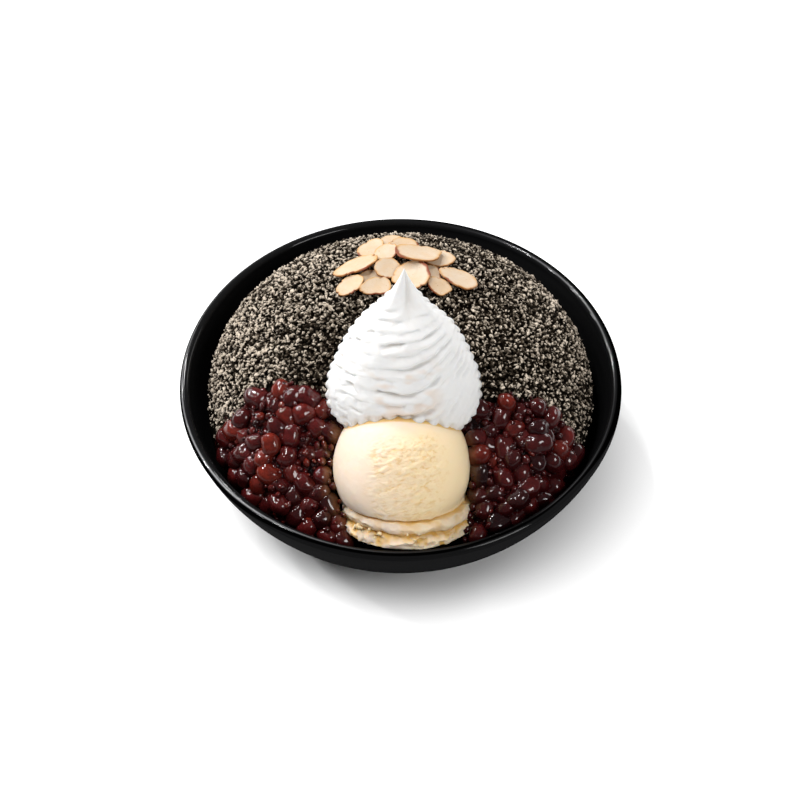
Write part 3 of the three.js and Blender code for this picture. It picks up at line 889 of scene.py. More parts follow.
# ---- Form of the dessert -----------------------------------------------------------------------
@dataclass(frozen=True)
class DessertForm:
    """Sizes that more than one piece needs: the bowl's wall, the mound's dome and the bean beds."""

    rim_radius: float = 100.0
    rim_height: float = 58.0
    base_radius: float = 45.0
    base_height: float = 6.0
    depth_power: float = 1.28
    sweep_power: float = 2.58
    wall: float = 4.5
    contact_height: float = 40.5
    apex_height: float = 92.6
    mound_radius: float = 88.6
    roundness: float = 2.5
    slope_start: float = 30.0
    slope_top: float = 86.5
    slope: float = 0.7
    edge_slope: float = 0.5
    bed_left: float = 27.0
    bed_right: float = 33.0
    bed_half_width: float = 30.0
    bed_drop: float = 8.5
    bed_blend: float = 5.0
    swing_at_wall: float = 13.0
    swing_inside: float = 2.0
    swing_left_of_cream: float = 5.5
    swing_right_of_cream: float = 3.0

    def outer_point(self, share: Points) -> tuple[Points, Points]:
        """Gives places on the bowl's outer face.

        Args:
            share: Shares of the sweep, from 0 at the rim to 1 at the base.

        Returns:
            Radius and height of each place.
        """
        angle = np.clip(share, 0.0, 1.0) * (math.pi / 2)
        reach = np.maximum(np.cos(angle), 0.0) ** (2 / self.sweep_power)
        depth = (self.rim_height - self.base_height) * np.sin(angle) ** (2 / self.depth_power)
        return self.base_radius + (self.rim_radius - self.base_radius) * reach, self.rim_height - depth

    def wall_point(self, share: Points, inset: float) -> tuple[Points, Points]:
        """Gives places in the bowl's wall.

        Args:
            share: Shares of the sweep, from 0 at the rim to 1 at the base.
            inset: Distance in from the outer face.

        Returns:
            Radius and height of each place.
        """
        small = 1e-3
        radius, height = self.outer_point(share)
        run = np.array(self.outer_point(share + small)) - np.array(self.outer_point(share - small))
        run /= np.maximum(np.linalg.norm(run, axis=0), 1e-12)
        return radius + run[1] * inset, height - run[0] * inset

    def inner_radius(self, height: Points) -> Points:
        """Gives the bowl's inner radius at heights."""
        radius, level = self.wall_point(np.linspace(0.0, 0.995, 200), self.wall)
        return np.interp(height, level[::-1], radius[::-1])

    def dome(self, radius: Points) -> Points:
        """Gives the height of the mound's dome.

        Args:
            radius: Distances from the middle.

        Returns:
            The height at each.
        """
        share = np.clip(radius / self.mound_radius, 0.0, 1.0)
        rise = (1.0 - share**self.roundness) ** (1 / self.roundness)
        return self.contact_height + (self.apex_height - self.contact_height) * rise

    def cover(self, x: Points, y: Points) -> Points:
        """Gives the finished outside of mound and heaps: the dome, its front pressed to a slope."""
        sloped = self.slope_top - self.slope * (-y - self.slope_start)
        return np.minimum(self.dome(np.hypot(x, y)), sloped)

    def cover_normal(self, x: Points, y: Points) -> Points:
        """Gives the outward direction of the cover.

        Args:
            x: Places to the right of the middle.
            y: Places behind the middle.

        Returns:
            A row of x, y, z of length 1 for each place.
        """
        reach = 0.6
        across = self.cover(x - reach, y) - self.cover(x + reach, y)
        along = self.cover(x, y - reach) - self.cover(x, y + reach)
        normal = rows(across, along, np.full_like(across, 2 * reach))
        return normal / np.linalg.norm(normal, axis=1, keepdims=True)

    def bed_edge(self, x: Points) -> Points:
        """Gives how far in front of the middle the bean beds start."""
        return self.bed_left + (self.bed_right - self.bed_left) * ease((x / self.bed_half_width + 1) / 2)

    def bean_edge(self, x: Points) -> Points:
        """Gives how far in front of the middle the beans show, farther out towards the wall.

        Args:
            x: Places to the right of the middle.

        Returns:
            The distance in front of the middle at each.
        """
        reach = np.abs(x)
        outer = self.swing_at_wall * ease(reach, 58.0, 90.0) - self.swing_inside * ease(reach, 38.0, 56.0)
        right = self.swing_right_of_cream * ease(40.0 - x, 0.0, 10.0)
        left = self.swing_left_of_cream * (1 - ease(reach, 34.0, 50.0))
        return self.bed_edge(x) + outer + np.where(x > 0, right, left)

    def ice(self, x: Points, y: Points) -> Points:
        """Gives the top of the ice: the cover, stepped down where the beans lie.

        Args:
            x: Places to the right of the middle.
            y: Places behind the middle.

        Returns:
            The height at each place.
        """
        edge = self.contact_height + self.edge_slope * (self.mound_radius - np.hypot(x, y))
        drop = self.bed_drop * ease((-y - self.bed_edge(x)) / self.bed_blend)
        return np.maximum(self.cover(x, y) - drop, np.minimum(edge, self.cover(x, y)))


FORM = DessertForm()


class Filling:
    """A closed body that fills the bowl: an open top with a relief, and an underside along the wall.

    Reach is its top's radius, gap what it keeps clear of the wall, sink how far its edge lies under the
    mound's, and fall how far it goes down. Lumps are the size and the seed of its relief.
    """

    reach: float
    gap: float
    sink: float
    fall: float
    lumps: tuple[float, int]

    def top(self, x: Points, y: Points) -> tuple[Points, Points]:
        """Gives the open top's height and the relief's depth at places."""
        raise NotImplementedError

    def taper(self, down: Points) -> Points:
        """Gives how the underside draws in, 1 at its edge and 0 at its middle."""
        raise NotImplementedError

    def fill(self, name: str, segments: int, rings: int) -> Piece:
        """Shapes the body.

        Args:
            name: Name of the new piece.
            segments: Number of faces around.
            rings: Number of faces from the top's middle to the underside's.

        Returns:
            The piece.
        """
        piece, share, turn = unit_ball(name, segments, rings)
        spread = np.sin(np.clip(share * 2, 0.0, 1.0) * math.pi / 2)
        radius = self.reach * spread
        height, depth = self.top(radius * np.cos(turn), radius * np.sin(turn))
        upper = spun(radius, turn, height)
        upper[:, 2] += depth * rough(upper, *self.lumps, 2) * (spread < 0.99)
        down = np.clip((share - 0.5) * 2, 0.0, 1.0)
        level = FORM.contact_height - self.sink - self.fall * np.sin(down * math.pi / 2)
        narrow = np.minimum(FORM.inner_radius(level) - self.gap, self.reach) * self.taper(down)
        write_points(piece, np.where((share <= 0.5)[:, None], upper, spun(narrow, turn, level)))
        smooth_faces(piece)
        return piece


# ---- Bowl --------------------------------------------------------------------------------------
@dataclass
class Bowl:
    """The thrown bowl: a spun wall with a round bead for a lip, on a low foot ring.

    Each shine is a stretch of the lip that takes a painted highlight line: the middle and half the width of
    it in degrees, and its strength.
    """

    steps: int = 192
    wall_steps: int = 30
    bead_steps: int = 31
    bead_radius: float = 2.3
    bead_middle: tuple[float, float] = (97.7, 57.0)
    shine: tuple[tuple[float, float, float], ...] = (
        (218.0, 27.0, 1.0),
        (180.0, 16.0, 0.25),
        (30.0, 24.0, 0.55),
        (315.0, 30.0, 0.12),
        (145.0, 28.0, 0.12),
    )
    shine_width: float = 8.0
    split_turn: float = 318.0
    split_width: float = 24.0
    foot_outer: float = 49.2
    foot_inner: float = 44.6
    recess: float = 4.2
    floor: float = 10.5

    def profile(self) -> list[tuple[float, float]]:
        """Gives the wall's section.

        Returns:
            Radius and height of each point, from the foot's middle round the lip to the floor's middle.
        """
        share = np.linspace(0.0, 1.0, self.wall_steps + 1) ** 0.9
        reach, level = self.bead_middle
        outer = zip(*(part[::-1] for part in FORM.wall_point(share, 0.0)))
        outside = [(r, h) for r, h in outer if r > self.foot_outer + 1.0 and h < level - 0.6]
        inside = [(r, h) for r, h in zip(*FORM.wall_point(share, FORM.wall)) if h < level - 1.2]
        angles = np.radians(np.linspace(-8.0, 188.0, self.bead_steps))
        bead = [
            (reach + self.bead_radius * math.cos(a), level + self.bead_radius * math.sin(a)) for a in angles
        ]
        foot = [
            (0.0, self.recess),
            (self.foot_inner - 1.2, self.recess),
            (self.foot_inner - 0.4, self.recess - 0.5),
            (self.foot_inner, 0.6),
            (self.foot_inner + 0.6, 0.0),
            (self.foot_outer - 0.9, 0.0),
            (self.foot_outer - 0.2, 0.6),
            (self.foot_outer, 4.6),
            (self.foot_outer + 0.5, 5.8),
        ]
        return foot + outside + bead + inside + [(0.0, self.floor)]

    def spin(self) -> Piece:
        """Spins the section into the bowl.

        Returns:
            The bowl.
        """
        section = self.profile()
        clear_selection()
        bpy.ops.mesh.primitive_plane_add(size=0.01)
        piece = bpy.context.object
        piece.name = piece.data.name = "glazed_bowl"
        bpy.ops.object.mode_set(mode="EDIT")
        bpy.ops.mesh.select_all(action="SELECT")
        bpy.ops.mesh.merge(type="CENTER")
        bpy.ops.transform.translate(value=(section[0][0] * MM, 0.0, section[0][1] * MM))
        for (radius, height), (last_radius, last_height) in zip(section[1:], section):
            step = ((radius - last_radius) * MM, 0.0, (height - last_height) * MM)
            bpy.ops.mesh.extrude_region_move(TRANSFORM_OT_translate={"value": step})
        bpy.ops.mesh.select_all(action="SELECT")
        bpy.ops.mesh.spin(steps=self.steps, angle=2 * math.pi, center=(0.0, 0.0, 0.0), axis=(0.0, 0.0, 1.0))
        bpy.ops.mesh.select_all(action="SELECT")
        bpy.ops.mesh.remove_doubles(threshold=0.00002)
        bpy.ops.mesh.normals_make_consistent(inside=False)
        bpy.ops.object.mode_set(mode="OBJECT")
        smooth_faces(piece, 50.0)
        return piece

    def mark_lip(self, piece: Piece) -> None:
        """Marks where the lip is glossy, where it takes a painted highlight and where a painted shadow, by
        its turn and its lean outwards.

        Args:
            piece: The bowl.
        """
        points = read_points(piece)
        reach, level = self.bead_middle
        turn = np.arctan2(points[:, 1], points[:, 0])
        out, over = np.hypot(points[:, 0], points[:, 1]) - reach, points[:, 2] - level
        on_bead = np.hypot(out, over) < self.bead_radius + 0.1
        on_top = ease(points[:, 2], level + 0.35 * self.bead_radius, level + 0.75 * self.bead_radius)
        lean = np.degrees(np.arctan2(out, over))
        front = ease(-np.sin(turn), 0.62, 1.0)
        left, right = ease(-np.cos(turn), -0.2, 0.4), ease(np.cos(turn), 0.15, 0.5)
        sides = left * (22.0 + 11.0 * np.cos(turn) ** 8) - 26.0 * (1 - left)
        line = (1 - front) * sides + front * (32.0 * right - 14.0)
        split = hump(turn_from(turn, self.split_turn), math.radians(self.split_width))
        low = (1 - split) * ((1 - front) * (6.0 + 34.0 * left) - front * (4.0 + 22.0 * right)) - 14.0 * split
        high = (1 - split) * (100.0 * (1 - front) + front * (32.0 - 26.0 * right)) + 8.0 * split
        # painted shadow: a black band across the bead between the leans low and high
        dark = ease(lean, low - 4.0, low + 4.0) * (1 - ease(lean, high - 4.0, high + 4.0)) * on_bead
        # painted highlight: grey lines along the lip's shoulder, strongest in each shine's stretch
        bright = np.zeros_like(turn)
        for middle, width, strength in self.shine:
            bright += strength * hump(np.degrees(turn_from(turn, middle)), width)
        write_masks(
            piece,
            dark=dark,
            gloss=(0.04 + 0.96 * on_top * (1 - 0.5 * front) * on_bead) * (1 - dark),
            thin=hump(lean - line, self.shine_width) * bright * on_bead,
        )

    def build(self) -> None:
        """Builds the bowl and hands it over."""
        piece = self.spin()
        self.mark_lip(piece)
        hand_over(piece, GlazeFinish(), ["bowl"])


# ---- Mound -------------------------------------------------------------------------------------
class Grain(Enum):
    """Kinds of sesame grain in the mound's coat."""

    LUMP = "lump"
    CRUMB = "crumb"
    CHIP = "chip"
    SHARD = "splinter"


@dataclass(frozen=True)
class GrainKind:
    """How many grains of a kind there are, how high they lie, and their shape and lightness."""

    count: int
    lift: float
    shape: Place
    jag: float = 0.3
    lightness: float = 1.0


KINDS: dict[Grain, GrainKind] = {
    Grain.LUMP: GrainKind(3900, -1.5, (1.25, 0.76, 0.66)),
    # the crumbs lie deepest and are painted darker, as shade low in the coat
    Grain.CRUMB: GrainKind(9400, -2.7, (1.0, 0.9, 0.85), lightness=0.17),
    Grain.CHIP: GrainKind(3900, -1.25, (1.35, 0.8, 0.75), jag=0.24),
    Grain.SHARD: GrainKind(9400, -1.35, (1.15, 0.5, 0.42), lightness=1.25),
}


@dataclass
class SesameMound(Filling):
    """Shaved ice under ground sesame: a dark bed with thousands of grains on it.

    Of the grains spread over the whole dome, the open share is seen. None lie in the bare oval, which the
    cream covers.
    """

    reach: float = FORM.mound_radius
    gap: float = 0.5
    sink: float = 2.6
    fall: float = 29.5
    lumps: tuple[float, int] = (5.0, 3)
    relief: float = 0.7
    flat_base: float = 0.2
    open_share: float = 0.72
    bare_middle: tuple[float, float] = (1.4, -28.0)
    bare_half: tuple[float, float] = (24.0, 19.0)
    size: float = 1.88
    scatter: float = 0.45
    chip_lean: float = 0.65
    jag: float = 0.42
    seed: int = 611

    def top(self, x: Points, y: Points) -> tuple[Points, Points]:
        """Gives the bed's height and the relief's depth at places."""
        return FORM.ice(x, y) - self.sink, np.full_like(x, self.relief)

    def taper(self, down: Points) -> Points:
        """Gives how the underside draws in, 1 out to its flat base and 0 at its middle."""
        return np.where(down > 1 - self.flat_base, (1 - down) / self.flat_base, 1.0)

    def pattern(self, grain: Grain) -> Piece:
        """Models one grain of a kind.

        Args:
            grain: The kind.

        Returns:
            A lump about one millimetre across, with few faces.
        """
        if grain is Grain.CHIP:
            piece, points, share = small_ball("chip", 8, 4)
            points[:, 2] -= 0.62 * np.clip(points[:, 2], 0.0, None)
            points[:, 2] -= 0.42 * (share < 0.01)
        elif grain is Grain.LUMP:
            clear_selection()
            bpy.ops.mesh.primitive_cube_add(size=0.86 * MM)
            bpy.ops.object.mode_set(mode="EDIT")
            bpy.ops.mesh.select_all(action="SELECT")
            bpy.ops.mesh.subdivide(number_cuts=1, smoothness=0.0)
            bpy.ops.object.mode_set(mode="OBJECT")
            piece = bpy.context.object
            points = read_points(piece)
            reach = np.linalg.norm(points, axis=1, keepdims=True)
            points = points * (0.3 + 0.35 / np.maximum(reach, 1e-6))
        else:
            piece, points = small_pebble(1)
        points *= 1 + KINDS[grain].jag * rough(points * 7.0, 1.0, len(grain.value))[:, None]
        write_points(piece, points)
        return piece

    def places(self, count: int, start: float, random: np.random.Generator) -> Points:
        """Spreads grain places evenly over the open part of the mound.

        Args:
            count: How many places the whole dome would have.
            start: Turn of the first place, so that layers don't fall on each other.
            random: Source of the small shifts.

        Returns:
            Rows of x and y.
        """
        radius = FORM.mound_radius * np.sin(np.linspace(0.0, 1.0, 800) * math.pi / 2) * 0.9992
        run = np.hypot(np.diff(radius), np.diff(FORM.dome(radius)))
        area = np.concatenate([[0.0], np.cumsum(run * (radius[1:] + radius[:-1]) * math.pi)])
        reach = np.interp((np.arange(count) + 0.5) / count * area[-1], area, radius)
        turn = start + np.arange(count) * math.pi * (3 - math.sqrt(5))
        spacing = math.sqrt(area[-1] / count)
        x = reach * np.cos(turn) + 0.3 * spacing * random.normal(size=count)
        y = reach * np.sin(turn) + 0.3 * spacing * random.normal(size=count)
        inside = np.hypot(x, y) < FORM.mound_radius - 0.2
        fringe = FORM.bean_edge(x) + 1.6 + 1.8 * rough(rows(x, y, 0 * x), 7.0, 5)
        (middle_x, middle_y), (half_x, half_y) = self.bare_middle, self.bare_half
        clear = np.hypot((x - middle_x) / half_x, (y - middle_y) / half_y) > 1
        keep = inside & (-y < fringe) & clear
        return rows(x[keep], y[keep])

    def grains(self, grain: Grain, start: float) -> None:
        """Scatters one kind of grain over the mound.

        Args:
            grain: The kind.
            start: Turn of its first grain.
        """
        kind = KINDS[grain]
        random = np.random.default_rng(self.seed + len(grain.value) + int(10 * start))
        x, y = self.places(int(kind.count / self.open_share), start, random).T
        count = len(x)
        normal = FORM.cover_normal(x, y)
        rise = kind.lift + self.scatter * random.normal(size=count).clip(-1.6, 1.6)
        rise = rise - 0.5 * ease(y, 50.0, 80.0)
        middle = rows(x, y, FORM.cover(x, y)) + normal * rise[:, None]
        size = self.size * (1 + 0.16 * random.normal(size=count).clip(-2, 2))
        size *= 1 - 0.1 * ease(x, -10.0, 50.0)
        uneven = 1 + 0.12 * random.normal(size=(count, 3)).clip(-2, 2)
        stretch = size[:, None] * np.array(kind.shape) * uneven
        if grain is Grain.CHIP:
            lean = normal + self.chip_lean * random.normal(size=(count, 3))
            frames = turned_frames(lean, random.uniform(0, 2 * math.pi, count), stretch)
        else:
            frames = tumbled_frames(random, stretch)
        name = f"sesame_{grain.value}s"
        copies = joined_copies(name, self.pattern(grain), middle, frames, grain is Grain.CHIP)
        along = copies.along(copies.roughen(self.jag, 1.25, 70), normal)
        out = along + copies.each(rise)
        patch = 0.5 + 0.3 * rough(middle, 14.0, 9, 2)
        # painted light and shade: lighter towards the left and the top left, darker at the back and in the
        # cream's shadow
        side = 0.80 + 0.38 * ease(-0.8 * x + 0.3 * y, 0.0, 50.0)
        near_cream = 1 - ease(np.hypot(x + 10.0, 1.1 * (y + 28.0)), 34.0, 66.0)
        side *= 1 - 0.3 * ease(y, 40.0, 75.0) - 0.42 * near_cream
        tone = side * (0.54 + 0.5 * patch + 0.5 * random.normal(size=count).clip(-1.3, 2.0)) * kind.lightness
        # painted shade: the height mask darkens each grain's low parts and the grains low in the coat
        write_masks(
            copies.piece,
            height=np.clip(0.64 + 0.68 * along + 0.24 * out, 0.0, 1.4),
            tone=copies.each(np.clip(tone, 0.03, 1.2)),
        )
        hand_over(copies.piece, SesameFinish(), ["sesame_ice_mound"])

    def build(self) -> None:
        """Builds the dark bed, and every kind of grain on it."""
        hand_over(self.fill("sesame_bed", 160, 120), SesameBedFinish(), ["sesame_ice_mound"])
        for step, grain in enumerate(Grain):
            self.grains(grain, 1.3 * step)


# ---- Ice cream ---------------------------------------------------------------------------------
@dataclass
class IceCreamScoop:
    """A ball of ice cream on the ragged collar that the scoop leaves round its foot.

    Pace is the share of the mesh's rings down to the neck, to the base's edge and to its middle.
    """

    radius: float = 29.6
    centre: Place = (0.3, -56.0, 64.0)
    lean: float = 27.0
    neck_depth: float = 12.6
    neck_radius: float = 25.5
    collar_radius: float = 28.9
    collar_shift: float = 2.6
    base_depth: float = 24.8
    view_rise: float = 24.1
    streak_tilt: float = 26.0
    segments: int = 320
    rings: int = 230
    ball_steps: int = 40
    pace: tuple[float, ...] = (0.0, 0.72, 0.95, 1.0)
    crumbs: int = 70
    crumb_size: tuple[float, float] = (1.2, 2.9)
    seed: int = 817

    def section(self) -> Points:
        """Gives the scoop's outline.

        Returns:
            Rows of radius and height, from its top to its base's middle.
        """
        neck = math.asin(self.neck_depth / self.radius)
        angle = np.linspace(math.pi / 2, -neck, self.ball_steps)
        ball = rows(self.radius * np.cos(angle), self.radius * np.sin(angle))
        depth = self.neck_depth
        collar = [
            (self.neck_radius, -depth - 0.7),
            (self.collar_radius - 1.0, -depth - 1.3),
            (self.collar_radius, -depth - 3.2),
            (self.collar_radius - 0.2, -depth - 5.0),
            (self.collar_radius - 1.6, -depth - 6.4),
            (self.collar_radius + 0.2, -depth - 7.6),
            (self.collar_radius + 1.2, -depth - 9.4),
            (self.collar_radius + 1.3, -self.base_depth + 0.8),
            (self.collar_radius - 0.4, -self.base_depth),
            (0.0, -self.base_depth),
        ]
        return np.concatenate([ball, np.array(collar)])

    def set_down(self, points: Points) -> Points:
        """Leans rows of x, y, z back and moves them to the scoop's place."""
        return points @ rotation(-self.lean, "X").T + np.array(self.centre)

    def height_over(self, points: Points) -> Points:
        """Gives the distance of rows of x, y, z from the ball's surface."""
        return np.linalg.norm(points - np.array(self.centre), axis=1) - self.radius

    def build(self) -> None:
        """Builds ball, collar and crumbs.

        The section is spun, then moved in and out by streaks and pits where the ball was dragged, and by
        torn edges on the collar.
        """
        piece, share, turn = unit_ball("scooped_ice_cream", self.segments, self.rings)
        section = self.section()
        run = np.concatenate([[0.0], np.cumsum(np.hypot(*np.diff(section, axis=0).T))])
        way = np.interp(share, self.pace, [0.0, run[self.ball_steps], run[-2], run[-1]])
        radius, height = (np.interp(way, run, column) for column in section.T)
        points = spun(radius, turn, height)
        depth = -height - self.neck_depth
        collar = ease(depth, -1.0, 1.5)
        lower = ease(depth, 5.0, 7.0)
        rise = math.radians(self.view_rise)
        up = math.cos(rise) * height + math.sin(rise) * points[:, 1] + 2.5 * rough(points, 8.0, 21, 2)
        across = points[:, 0] / self.radius + 0.09 * rough(points, 8.0, 22, 2)
        worked = ease(across, -0.58, -0.3) * (1 - ease(across, 0.42, 0.7))
        worked = worked * ease(up, -26.0, -19.0) * (1 - ease(up, 8.0, 16.0)) * (points[:, 1] < 4.0)
        streaks = rough(points @ rotation(self.streak_tilt, "Y").T, (4.4, 4.4, 1.3), 33, 2)
        pits = ease(rough(points, (1.3, 1.3, 0.6), 47, 2), 0.15, 0.8)
        ragged = rough(points, (6.0, 6.0, 3.0), 63, 3)
        torn = ease(rough(points, (3.4, 3.4, 2.2), 71, 2), 0.0, 1.0)
        crumbly = rough(points, 2.0, 15, 2)
        tears = (0.65 + 0.5 * lower) * ragged - (0.35 + 0.8 * lower) * torn + (0.2 + 0.55 * lower) * crumbly
        inward = (
            0.35 * rough(points, 12.0, 51, 2)
            + worked * (0.34 * streaks - 0.26 * pits)
            + (1 - collar) * 0.05 * rough(points, 2.2, 81, 2)
            + collar * tears
        )
        scale = 1 + inward / np.maximum(np.hypot(radius, height), 8.0)
        flat_base = ease(height + self.base_depth, 0.0, 1.5)
        scale = 1 + (scale - 1) * flat_base
        shaped = points * rows(scale, scale, 1 + 0.6 * (scale - 1))
        shaped[:, 2] += collar * flat_base * (0.75 + 0.25 * lower) * rough(points, (4.0, 4.0, 3.0), 91, 2)
        shaped[:, 0] += self.collar_shift * collar
        placed = self.set_down(shaped)
        write_points(piece, placed)
        # painted shade: honey colour under the cream's hem, in the collar's creases and in its torn holes,
        # added to the real pits
        shade = 1 - ease(CREAM.depth_under(placed), -0.1, 1.1)
        crease = hump(depth - 0.7, 0.6) + hump(depth - 6.4, 1.5)
        pit = worked * 0.2 * pits + 0.85 * crease + collar * (0.4 + 0.6 * lower) * torn + 0.85 * shade
        # painted light: paler towards the left and the top; the collar is paler in its own colour
        pale = ease(-across, -0.5, 0.9) + 0.4 * collar + 0.5 * ease(up, 8.0, 22.0)
        write_masks(piece, pit=np.clip(pit, 0, 1), worked=worked, pale=np.clip(pale, 0, 1))
        smooth_faces(piece)
        hand_over(piece, IceCreamFinish(), ["ice_cream_scoop"])
        self.loose_crumbs()

    def loose_crumbs(self) -> None:
        """Scatters torn crumbs round the collar's lower part."""
        random = np.random.default_rng(self.seed)
        pattern, points = small_pebble(2)
        write_points(pattern, points * (1 + 0.25 * rough(points * 4.0, 1.0, 4))[:, None])
        turn = random.uniform(0, 2 * math.pi, self.crumbs)
        level = -self.neck_depth - 4.8 - 6.0 * random.beta(1.3, 1.2, self.crumbs)
        reach = self.collar_radius - 0.7 + 0.5 * random.normal(size=self.crumbs).clip(-1.2, 1.0)
        spots = rows(reach * np.cos(turn) + self.collar_shift, reach * np.sin(turn), level)
        size = random.uniform(*self.crumb_size, (self.crumbs, 1)) * random.uniform(0.6, 1.3, (self.crumbs, 3))
        frames = tumbled_frames(random, size)
        copies = joined_copies("ice_cream_crumbs", pattern, self.set_down(spots), frames)
        copies.roughen(0.45, 1.2, 12)
        pit, pale = (copies.each(random.uniform(*ends, self.crumbs)) for ends in ((0.0, 0.4), (0.1, 0.5)))
        write_masks(copies.piece, pit=pit, pale=pale)
        hand_over(copies.piece, IceCreamFinish(), [])


# ---- Whipped cream -----------------------------------------------------------------------------
@dataclass
class CreamSwirl:
    """Whipped cream piped through a star nozzle: strands climb it as helices and meet in a peak.

    The outline is its radius at heights. The strands' rise is their angle in degrees at distances to the
    right of the middle.
    """

    centre: Place = (1.4, -31.0, 81.0)
    lean: float = 18.0
    height: float = 62.5
    skirt: float = 15.0
    front_depth: float = 0.78
    back_depth: float = 0.9
    pitch: float = 5.0
    deep: float = 2.1
    shallow: float = 1.2
    crest_skew: float = 0.74
    valley_width: float = 0.3
    flutes: int = 34
    flute_depth: float = 1.9
    side_pitch: float = 4.35
    side_depth: float = 1.25
    side_share: float = 0.95
    view_rise: float = 33.1
    strand_rise: tuple[tuple[float, float], ...] = (
        (-34.0, -34.0),
        (-22.0, -27.0),
        (-12.0, -14.0),
        (-3.0, 4.0),
        (4.0, 17.0),
        (11.0, 36.0),
        (17.0, 52.0),
        (24.0, 62.0),
        (34.0, 64.0),
    )
    segments: int = 320
    rings: int = 280
    outline: tuple[tuple[float, float], ...] = (
        (23.5, -15.0),
        (31.2, -7.0),
        (33.9, 0.0),
        (32.5, 11.0),
        (27.9, 23.0),
        (21.7, 34.5),
        (13.4, 43.5),
        (6.1, 51.0),
        (2.4, 57.0),
        (0.0, 62.5),
    )

    def radius_at(self, height: Points) -> Points:
        """Reads the swirl's outline, rounded between its named points.

        Args:
            height: Heights over the swirl's middle.

        Returns:
            The radius at each.
        """
        table = np.array(self.outline)
        fine = np.linspace(0, len(table) - 1, 400)
        left = np.clip(np.floor(fine).astype(int), 0, len(table) - 2)
        part = (fine - left)[:, None]
        padded = np.concatenate([2 * table[:1] - table[1:2], table, 2 * table[-1:] - table[-2:-1]])
        p0, p1, p2, p3 = (padded[left + k] for k in range(4))
        bend = 2 * p0 - 5 * p1 + 4 * p2 - p3
        twist = 3 * p1 - p0 - 3 * p2 + p3
        curve = 0.5 * (2 * p1 + (p2 - p0) * part + bend * part**2 + twist * part**3)
        return np.maximum(np.interp(height, curve[:, 1], curve[:, 0]), 0.0)

    def depth_share(self, y: Points) -> Points:
        """Gives how deep the swirl is for its width, in front of its middle and behind it."""
        return np.where(y < 0, self.front_depth, self.back_depth)

    def lay_down(self, points: Points) -> Points:
        """Flattens upright rows of x, y, z front to back, leans them and moves them to the swirl's place.

        Args:
            points: Rows of x, y, z over the swirl's middle.

        Returns:
            The rows in the model's frame.
        """
        depth = self.depth_share(points[:, 1])
        flat = points * rows(np.ones_like(depth), depth, np.ones_like(depth))
        return flat @ rotation(-self.lean, "X").T + np.array(self.centre)

    def depth_under(self, points: Points) -> Points:
        """Gives how far places lie outside the swirl.

        Args:
            points: Rows of x, y, z in the model's frame.

        Returns:
            The distance of each, negative inside the swirl.
        """
        upright = (points - np.array(self.centre)) @ rotation(-self.lean, "X")
        upright[:, 1] /= self.depth_share(upright[:, 1])
        return np.hypot(upright[:, 0], upright[:, 1]) - self.radius_at(upright[:, 2])

    def strands(self, across: Points) -> tuple[Points, Points]:
        """Gives the strands' course over the swirl's front.

        Args:
            across: Distances to the right of the middle.

        Returns:
            How far a strand has risen there, and its angle in radians.
        """
        table = np.array(self.strand_rise)
        fine = np.linspace(-40.0, 40.0, 801)
        angle = np.radians(np.interp(fine, table[:, 0], table[:, 1]))
        rise = np.cumsum(np.tan(angle)) * (fine[1] - fine[0])
        return np.interp(across, fine, rise - rise[400]), np.interp(across, fine, angle)

    def rim_way(self, level: Points, across: Points) -> Points:
        """Gives the way along the swirl's outline, as seen from the front.

        Args:
            level: Heights of places as seen.
            across: Their distances to the right of the middle.

        Returns:
            The way up to each level.
        """
        steps = np.linspace(level.min(), level.max(), 160)
        width = np.zeros(160)
        np.maximum.at(width, np.searchsorted(steps, level).clip(0, 159), np.abs(across))
        width = np.convolve(np.pad(width, 4, mode="edge"), np.ones(9) / 9, mode="valid")
        way = np.cumsum(np.hypot(np.gradient(width, steps), 1.0)) * (steps[1] - steps[0])
        return np.interp(level, steps, way)

    def build(self) -> None:
        """Builds the swirl and hands it over.

        Its outline is spun, then dented between the strands, along the edges that are seen from the side,
        and between the nozzle's flutes at the hem. The peak is folded.
        """
        piece, share, turn = unit_ball("piped_cream", self.segments, self.rings)
        way = np.clip(share / self.side_share, 0.0, 1.0)
        height = self.height - (self.height + self.skirt) * way
        outline = self.radius_at(height)
        under = np.clip((share - self.side_share) / (1 - self.side_share), 0.0, 1.0)
        open_side = 1 - under
        slope = self.radius_at(height + 0.5) - self.radius_at(height - 0.5)
        outline = outline * open_side
        height = height - 0.5 * np.sin(under * math.pi)
        spot = spun(outline, turn, height)
        deepness = self.depth_share(np.sin(turn))
        rise = math.radians(self.view_rise)
        level = math.cos(rise) * height + math.sin(rise) * spot[:, 1] * deepness
        facing = rows(np.cos(turn), np.sin(turn) / deepness, -slope)
        facing /= np.linalg.norm(facing, axis=1, keepdims=True)
        edge_on = 1 - ease(np.abs(facing @ np.array([0.0, -math.cos(rise), math.sin(rise)])), 0.16, 0.46)
        edge_on *= ease(outline, 4.0, 10.0) * open_side
        climb, angle = self.strands(spot[:, 0])
        ahead = np.minimum(np.sin(turn), 0.4 + 0.15 * (np.sin(turn) - 0.4))
        seen = math.cos(rise) * height + math.sin(rise) * outline * ahead * deepness
        wander = 0.22 * rough(spot, (14.0, 14.0, 10.0), 5, 2) + 0.09 * rough(spot, 5.0, 6, 2)
        phase = (seen - climb) / self.pitch + wander
        part = phase - np.floor(phase)
        crest = 0.5 ** (1 / self.crest_skew)
        even = np.mod(np.floor(phase) + (part > crest), 2) == 0
        depth = np.where(even, self.deep, self.shallow)
        broken = ease(rough(spot, (8.0, 8.0, 4.5), 8, 2), -0.55, 0.5)
        dashes = ease(rough(spot, (4.0, 4.0, 3.0), 18), -0.05, 0.45)
        on_left = ease(-spot[:, 0], 2.0, 16.0)
        depth *= (0.2 + 1.0 * broken) * (1 - 0.9 * on_left * (1 - dashes))
        depth *= np.cos(angle) ** 1.1 * ease(outline, 5.0, 16.0) * open_side * (1 - 0.75 * edge_on)
